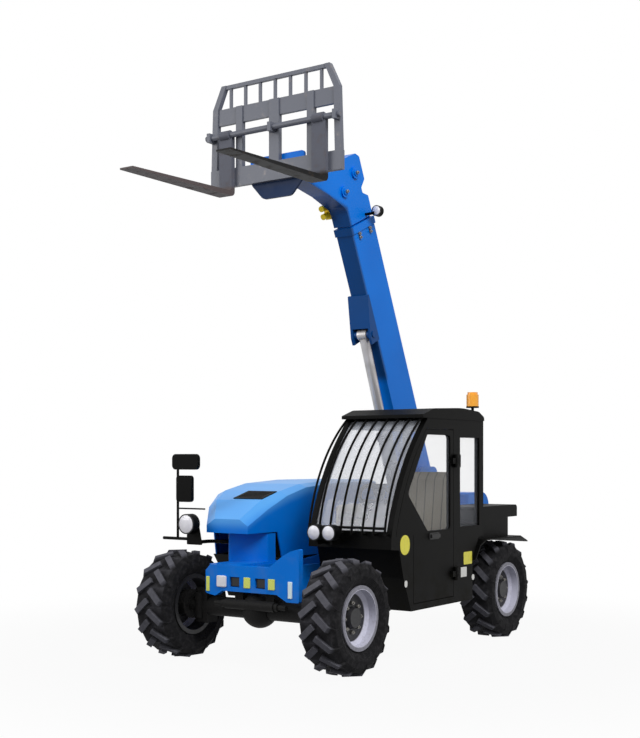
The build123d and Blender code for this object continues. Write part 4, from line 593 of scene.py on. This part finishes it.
def pane_finish(name, sky_and_dust_veil):
    """A glass finish under the given share of a pale veil, painted sky reflection and dust."""
    pane = Finish(name)
    haze = pane.ramp(pane.grain(scale=3.0, detail=5.0), start=0.35, end=0.8)
    pane.surface({"Base Color": GLASS_TINT, "Roughness": 0.05 + 0.1 * haze})
    # Painted reflection: the pale, partly opaque veil stands in for sky reflected in the glass, mottled like
    # dust.
    pane.surface({"Alpha": sky_and_dust_veil * (0.8 + 0.4 * haze)})
    return pane


coat(pane_finish("windscreen glass", sky_and_dust_veil=0.36), "windscreen")
coat(pane_finish("side glass", sky_and_dust_veil=0.06), "cab_glass", "door_glass")


# Interior trim: the dash and the moulded panel under the right-hand window, in warm grey
# grained plastic, with the steering wheel and column in black.
TRIM_DARK = tone(140, 134, 120)
TRIM_PALE = tone(160, 154, 138)
WHEEL_BLACK = tone(22, 22, 23)
trim = Finish("warm grey trim")
leather = trim.grain(scale=160.0, detail=4.0, rough=0.6)
moulded = trim.over(leather, TRIM_DARK, TRIM_PALE)
wheel_height = trim.ramp(trim.along("Z"), start=1.06, end=1.09)
wheel_side = trim.ramp(trim.along("X"), start=0.25, end=0.27)
trim.surface({"Base Color": trim.over(wheel_height * wheel_side, moulded, WHEEL_BLACK)})
trim.surface({"Roughness": 0.6 + 0.2 * leather})
trim.bump(leather, depth=0.0006, strength=0.5)
coat(trim, "dashboard")

FACING = {"+X": (90, 0, 90), "-Y": (90, 0, 0), "+Y": (90, 0, 180)}
OUTWARD = {"+X": (1, 0, 0), "-Y": (0, -1, 0), "+Y": (0, 1, 0)}
STRAIGHT_EDGE = 0.7
SOFT_EDGE = 0.3
EDGE_INSET = 0.4
CORNER_STEPS = 5


def turned(facing):
    """The rotation that points a flat primitive the way it is to face."""
    return tuple(math.radians(angle) for angle in FACING[facing])


def outwards(facing, depth):
    """A step of a depth towards the way a piece faces."""
    return tuple(part * depth for part in OUTWARD[facing])


def grow(facing, depth):
    """Extrude the selected faces a depth towards the way the piece faces."""
    pull(*outwards(facing, depth))


def shift(facing, depth):
    """Move the selected faces a depth towards the way the piece faces."""
    bpy.ops.transform.translate(value=outwards(facing, depth))


def face_out():
    """Make every face of the piece that is open point outward."""
    bpy.ops.mesh.select_all(action="SELECT")
    bpy.ops.mesh.normals_make_consistent(inside=False)


def panel(name, centre, size, depth, corner, facing):
    """A plate with rounded corners and a softened front edge, its back at a place."""
    bpy.ops.object.select_all(action="DESELECT")
    bpy.ops.mesh.primitive_plane_add(size=1.0, location=centre, rotation=turned(facing))
    bpy.context.object.scale = (*size, 1.0)
    bpy.ops.object.transform_apply(location=False, rotation=False, scale=True)
    piece = begin(name)
    bpy.ops.mesh.bevel(offset=corner, segments=CORNER_STEPS, affect="VERTICES")
    grow(facing, depth * STRAIGHT_EDGE)
    bpy.ops.mesh.inset(thickness=depth * EDGE_INSET)
    shift(facing, depth * SOFT_EDGE)
    face_out()
    return piece


TRIM_PLACE = (0.2, 0.07, 1.05)
TRIM_SIZE = (1.04, 0.22)
side_trim = panel("cab_side_trim", TRIM_PLACE, TRIM_SIZE, depth=0.02, corner=0.04, facing="+X")
settle(side_trim, "chassis", trim)


# Control lever: a slim steel stalk that swells into a moulded black knob, standing on the
# console beside the seat.
LEVER_X = 0.3
LEVER_Y = 0.0
LEVER_FOOT = 0.92
LEVER_RISE = 0.2
LEVER_RADIUS = 0.009
KNOB_STEPS = ((2.2, 0.02), (1.25, 0.03), (0.95, 0.025), (0.6, 0.008))
MOULD_BLACK = tone(14, 14, 15)
MOULD_GREY = tone(26, 26, 27)
black_plastic = Finish("black plastic")
stipple = black_plastic.grain(scale=500.0, detail=2.0)
black_plastic.surface({"Base Color": black_plastic.over(stipple, MOULD_BLACK, MOULD_GREY)})
black_plastic.surface({"Roughness": 0.45 + 0.15 * stipple, "Specular IOR Level": 0.35})
bpy.ops.object.select_all(action="DESELECT")
middle = (LEVER_X, LEVER_Y, LEVER_FOOT + LEVER_RISE / 2)
bpy.ops.mesh.primitive_cylinder_add(vertices=16, radius=LEVER_RADIUS, depth=LEVER_RISE, location=middle)
lever = begin("control_lever")
pick(lever, lambda centre, normal: normal.z > END_FACE)
top = (LEVER_X, LEVER_Y, LEVER_FOOT + LEVER_RISE)
for widen, rise in KNOB_STEPS:
    pull(0, 0, rise)
    bpy.ops.transform.resize(value=(widen, widen, 1.0), center_override=top)
face_out()
settle(lever, "chassis", black_plastic, smooth=60.0)


# Work lamps: pressed bezels around crowned, ribbed glass lenses, two low on the cab's front,
# one on the hood side and one on the boom's nose.
RIB_TURNS = 560.0
BEZEL_DEPTH = 0.008
BEZEL_WALL = 0.1
BEZEL_DISH = -0.005
LENS_SEAT = 0.004
LENS_SHARE = 0.88
LENS_EDGE = 0.003
LENS_CROWN = ((0.22, 0.006), (0.24, 0.004), (0.2, 0.002))
LENS_BRIGHT = tone(236, 235, 240)
LENS_SMEARED = tone(204, 203, 214)
lens_glass = Finish("lamp lens")
ribs = (lens_glass.along("X") * RIB_TURNS).wave()
smear = lens_glass.grain(scale=24.0, detail=4.0)
lens_glass.surface({"Base Color": lens_glass.over(smear, LENS_BRIGHT, LENS_SMEARED)})
lens_glass.surface({"Roughness": 0.12 + 0.14 * smear, "Coat Weight": 0.5 + 0.2 * smear})
lens_glass.bump(ribs, depth=0.0012, strength=0.5)


def round_plate(name, centre, radius, facing):
    """A filled circle facing a way, open for shaping."""
    bpy.ops.object.select_all(action="DESELECT")
    sizes = {"vertices": 40, "radius": radius, "fill_type": "NGON"}
    bpy.ops.mesh.primitive_circle_add(location=centre, rotation=turned(facing), **sizes)
    return begin(name)


def work_lamp(name, centre, radius, body):
    """A lamp's bezel ring and its crowned lens, on the front of a housing."""
    bezel = round_plate(f"{name}_bezel", centre, radius, "-Y")
    grow("-Y", BEZEL_DEPTH)
    bpy.ops.mesh.inset(thickness=radius * BEZEL_WALL)
    grow("-Y", BEZEL_DISH)
    face_out()
    settle(bezel, body, black_plastic)
    seat = tuple(part + step for part, step in zip(centre, outwards("-Y", LENS_SEAT)))
    lens = round_plate(f"{name}_lens", seat, radius * LENS_SHARE, "-Y")
    grow("-Y", LENS_EDGE)
    for share, rise in LENS_CROWN:
        bpy.ops.mesh.inset(thickness=radius * share)
        shift("-Y", rise)
    face_out()
    settle(lens, body, lens_glass, smooth=60.0)


work_lamp("cab_lamp_inner", (0.31, -0.905, 0.975), radius=0.058, body="chassis")
work_lamp("cab_lamp_outer", (0.44, -0.905, 0.975), radius=0.058, body="chassis")
work_lamp("hood_lamp", (-0.645, -1.226, 1.022), radius=0.076, body="chassis")
work_lamp("boom_lamp", (0.165, 0.190, 3.541), radius=0.044, body="inner_boom")


# Front plate lights: a clear position lamp, two prism reflectors and two end markers stuck
# or screwed to the plate, and black plastic liners in its square recesses.
PLATE_FACE = -1.27
LIGHT_HEIGHT = 0.615
RECESS_FLOOR = PLATE_FACE + 0.0255
LINER_SIZE = (0.088, 0.07)
PRISM_YELLOW = tone(206, 214, 84)
PRISM_CLEAR = tone(214, 232, 238)
prism = Finish("prism reflector")
facets = prism.cells(scale=160.0)
clear_end = prism.ramp(prism.along("X"), start=0.28, end=0.3)
prism.surface({"Base Color": prism.over(clear_end, PRISM_YELLOW, PRISM_CLEAR)})
prism.surface({"Roughness": 0.14 + 0.2 * facets, "Coat Weight": 0.5 + 0.2 * facets})
prism.bump(facets, depth=0.002, strength=0.6)
plate_lights = (
    ("plate_position_lamp", -0.262, LIGHT_HEIGHT, (0.088, 0.084), 0.014, 0.012, lens_glass),
    ("plate_reflector_right", -0.027, LIGHT_HEIGHT, (0.058, 0.078), 0.008, 0.006, prism),
    ("plate_reflector_left", 0.195, LIGHT_HEIGHT, (0.058, 0.078), 0.008, 0.006, prism),
    ("plate_marker_right", -0.394, 0.59, (0.03, 0.11), 0.008, 0.006, prism),
    ("plate_marker_left", 0.36, 0.585, (0.036, 0.12), 0.008, 0.006, prism),
)
for name, x, z, size, depth, corner, finish in plate_lights:
    light = panel(name, (x, PLATE_FACE, z), size, depth, corner, facing="-Y")
    settle(light, "chassis", finish)
for name, x in (("recess_liner_right", -0.145), ("recess_liner_left", 0.09)):
    place = (x, RECESS_FLOOR, LIGHT_HEIGHT)
    liner = panel(name, place, LINER_SIZE, depth=0.012, corner=0.006, facing="-Y")
    settle(liner, "chassis", black_plastic)


# Mirrors: flat silvered glass with rounded corners, stuck to the rear faces of the two
# black heads.
MIRROR_BACK = -1.122
SILVER_BRIGHT = tone(226, 228, 230)
SILVER_MISTED = tone(200, 204, 208)
silver = Finish("mirror glass")
mist = silver.grain(scale=8.0, detail=4.0)
silver.surface({"Base Color": silver.over(mist, SILVER_BRIGHT, SILVER_MISTED)})
silver.surface({"Roughness": 0.03 + 0.05 * mist, "Metallic": 1.0})
mirrors = (
    ("mirror_glass_upper", -0.7255, 1.493, (0.235, 0.1)),
    ("mirror_glass_lower", -0.736, 1.2865, (0.132, 0.182)),
)
for name, x, z, size in mirrors:
    mirror = panel(name, (x, MIRROR_BACK, z), size, depth=0.003, corner=0.014, facing="+Y")
    settle(mirror, "chassis", silver)


# Labels: cut pieces of plain yellow and white vinyl film, rolled on to the cab's side panel
# and scratched by branches and washing.
CAB_FACE = 0.88
VINYL_YELLOW = tone(224, 216, 60)
VINYL_WHITE = tone(222, 222, 218)
VINYL_DIRT = tone(150, 146, 128)
vinyl = Finish("plain vinyl")
scratch = vinyl.ramp(vinyl.grain(scale=50.0, detail=6.0), start=0.45, end=0.8)
lower_row = vinyl.ramp(vinyl.along("Z"), start=0.667, end=0.663)
film = vinyl.over(lower_row, VINYL_YELLOW, VINYL_WHITE)
vinyl.surface({"Base Color": vinyl.over(scratch * 0.3, film, VINYL_DIRT)})
vinyl.surface({"Roughness": 0.35 + 0.3 * scratch})
labels = (
    ("side_label_oval", -0.56, 0.885, (0.135, 0.145), 0.064),
    ("side_label_upper", 0.42, 0.727, (0.14, 0.1), 0.008),
    ("side_label_lower", 0.34, 0.62, (0.12, 0.078), 0.008),
    ("side_spot_front", -0.546, 0.599, (0.04, 0.05), 0.018),
    ("side_spot_rear", 0.509, 0.567, (0.045, 0.045), 0.02),
)
for name, y, z, size, corner in labels:
    label = panel(name, (CAB_FACE, y, z), size, depth=0.001, corner=corner, facing="+X")
    settle(label, "chassis", vinyl)


# Door handle: a moulded black pull with a raised grip, screwed to the door's skin below
# the window.
HANDLE_PLACE = (CAB_FACE, -0.13, 0.93)
HANDLE_SIZE = (0.15, 0.05)
HANDLE_DEPTH = 0.008
GRIP_INSET = 0.008
GRIP_RISE = 0.014
handle = panel("door_handle", HANDLE_PLACE, HANDLE_SIZE, HANDLE_DEPTH, corner=0.014, facing="+X")
pick(handle, lambda centre, normal: normal.z > 0.95 and centre.z > HANDLE_DEPTH - 0.001)
bpy.ops.mesh.inset(thickness=GRIP_INSET)
grow("+X", GRIP_RISE)
face_out()
settle(handle, "door", black_plastic)


# Seat pads: foam cushions under a warm grey woven cover with sewn channels, swelled against
# the cover so that the edges round and the middle stands up.
PAD_SHRINK = 0.965
PAD_GRID = 0.007
PAD_PRESSURE = 4.0
PAD_STEPS = 20
SWELL_LIMIT = 0.014
SHELL_UNDER = 0.02
SHELL_BEHIND = 0.05
MERGE_REACH = 0.00001
CHANNELS_A_METRE = 12.5
COVER_DARK = tone(138, 133, 120)
COVER_PALE = tone(166, 160, 146)
SEAM_GREY = tone(96, 92, 84)
fabric = Finish("seat fabric")
weave = fabric.grain(scale=700.0, detail=2.0)
sewn = fabric.ramp((fabric.along("X") * CHANNELS_A_METRE).zigzag(0.5), start=0.0, end=0.09)
cover = fabric.over(weave, COVER_DARK, COVER_PALE)
fabric.surface({"Base Color": fabric.over(sewn, SEAM_GREY, cover), "Roughness": 0.85 + 0.1 * weave})
fabric.bump(sewn * 4.0 + weave, depth=0.0012, strength=0.7)


def swell(pad, held):
    """Blow the pad up inside its cover, with the held vertices fixed to the seat's shell."""
    before = [vertex.co.copy() for vertex in pad.data.vertices]
    shell = pad.vertex_groups.new(name="on the shell")
    shell.add(held, 1.0, "REPLACE")
    stuffing = pad.modifiers.new("stuffing", "CLOTH")
    stuffing.settings.use_pressure = True
    stuffing.settings.uniform_pressure_force = PAD_PRESSURE
    stuffing.settings.effector_weights.gravity = 0.0
    stuffing.settings.vertex_group_mass = shell.name
    stuffing.point_cache.frame_start = 1
    stuffing.point_cache.frame_end = PAD_STEPS
    for step in range(1, PAD_STEPS + 1):
        bpy.context.scene.frame_set(step)
    bpy.ops.object.modifier_apply(modifier=stuffing.name)
    bpy.context.scene.frame_set(1)
    for vertex, start in zip(pad.data.vertices, before):
        move = vertex.co - start
        if move.length > SWELL_LIMIT:
            vertex.co = start + move * (SWELL_LIMIT / move.length)


def seat_pad(name, node, on_shell):
    """A stuffed copy of a CAD pad; the vertices that pass the test stay on the seat's shell."""
    bpy.ops.object.select_all(action="DESELECT")
    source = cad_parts[node]
    pad = bpy.data.objects.new(name, source.data.copy())
    bpy.context.collection.objects.link(pad)
    pad.matrix_world = source.matrix_world.copy()
    pad.select_set(True)
    bpy.context.view_layer.objects.active = pad
    bpy.ops.object.transform_apply(location=True, rotation=True, scale=True)
    low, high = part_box(node)
    middle = tuple((near + far) / 2 for near, far in zip(low, high))
    bpy.ops.object.mode_set(mode="EDIT")
    bpy.ops.mesh.select_all(action="SELECT")
    bpy.ops.mesh.remove_doubles(threshold=MERGE_REACH)
    bpy.ops.transform.resize(value=(PAD_SHRINK, PAD_SHRINK, PAD_SHRINK), center_override=middle)
    bpy.ops.object.mode_set(mode="OBJECT")
    remesh = pad.modifiers.new("even grid", "REMESH")
    remesh.mode = "VOXEL"
    remesh.voxel_size = PAD_GRID
    bpy.ops.object.modifier_apply(modifier=remesh.name)
    swell(pad, [vertex.index for vertex in pad.data.vertices if on_shell(vertex.co, low, high)])
    smooth = pad.modifiers.new("smooth", "SUBSURF")
    smooth.levels = 1
    bpy.ops.object.modifier_apply(modifier=smooth.name)
    settle(pad, "chassis", fabric, smooth=80.0)
    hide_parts(node)


coat(fabric, "seat_cushion", "seat_back")
seat_pad("seat_pad", "seat_cushion", lambda at, low, high: at.z < low[2] + SHELL_UNDER)
seat_pad("backrest_pad", "seat_back", lambda at, low, high: at.y > high[1] - SHELL_BEHIND)


# Beacon: a moulded amber lens with upright ribs over a turning lamp, screwed down on a black
# steel stalk.
BEACON_RIBS = 900.0
AMBER_DEEP = tone(244, 150, 20)
AMBER_BRIGHT = tone(255, 186, 60)
amber = Finish("amber lens")
glow = amber.grain(scale=40.0, detail=2.0)
amber.surface({"Base Color": amber.over(glow, AMBER_DEEP, AMBER_BRIGHT)})
amber.surface({"Roughness": 0.15 + 0.1 * glow})
amber.bump((amber.along("Y") * BEACON_RIBS).wave(), depth=0.001, strength=0.4)
coat(amber, "beacon_lens")


# Tail lamps: moulded red lenses with an amber upper third and prism cells inside, on the back
# of the counterweight.
TAIL_RED = tone(176, 14, 12)
TAIL_AMBER = tone(236, 130, 16)
red_lens = Finish("red lens")
cells = red_lens.cells(scale=120.0)
upper_third = red_lens.ramp(red_lens.along("Z"), start=1.016, end=1.019)
red_lens.surface({"Base Color": red_lens.over(upper_third, TAIL_RED, TAIL_AMBER)})
red_lens.surface({"Roughness": 0.16 + 0.2 * cells, "Coat Weight": 0.4 + 0.2 * cells})
red_lens.bump(cells, depth=0.001, strength=0.5)
coat(red_lens, "tail_lamps")


# Hose couplers: steel couplers screwed into the boom's nose, under bright yellow moulded dust
# caps that oily hands have browned.
CAP_YELLOW = tone(236, 206, 20)
CAP_GRIME = tone(150, 130, 40)
cap_yellow = Finish("yellow caps")
grime = cap_yellow.ramp(cap_yellow.grain(scale=30.0, detail=5.0), start=0.45, end=0.8)
cap_yellow.surface({"Base Color": cap_yellow.over(grime * 0.5, CAP_YELLOW, CAP_GRIME)})
cap_yellow.surface({"Roughness": 0.4 + 0.3 * grime})
coat(cap_yellow, "hose_couplers")
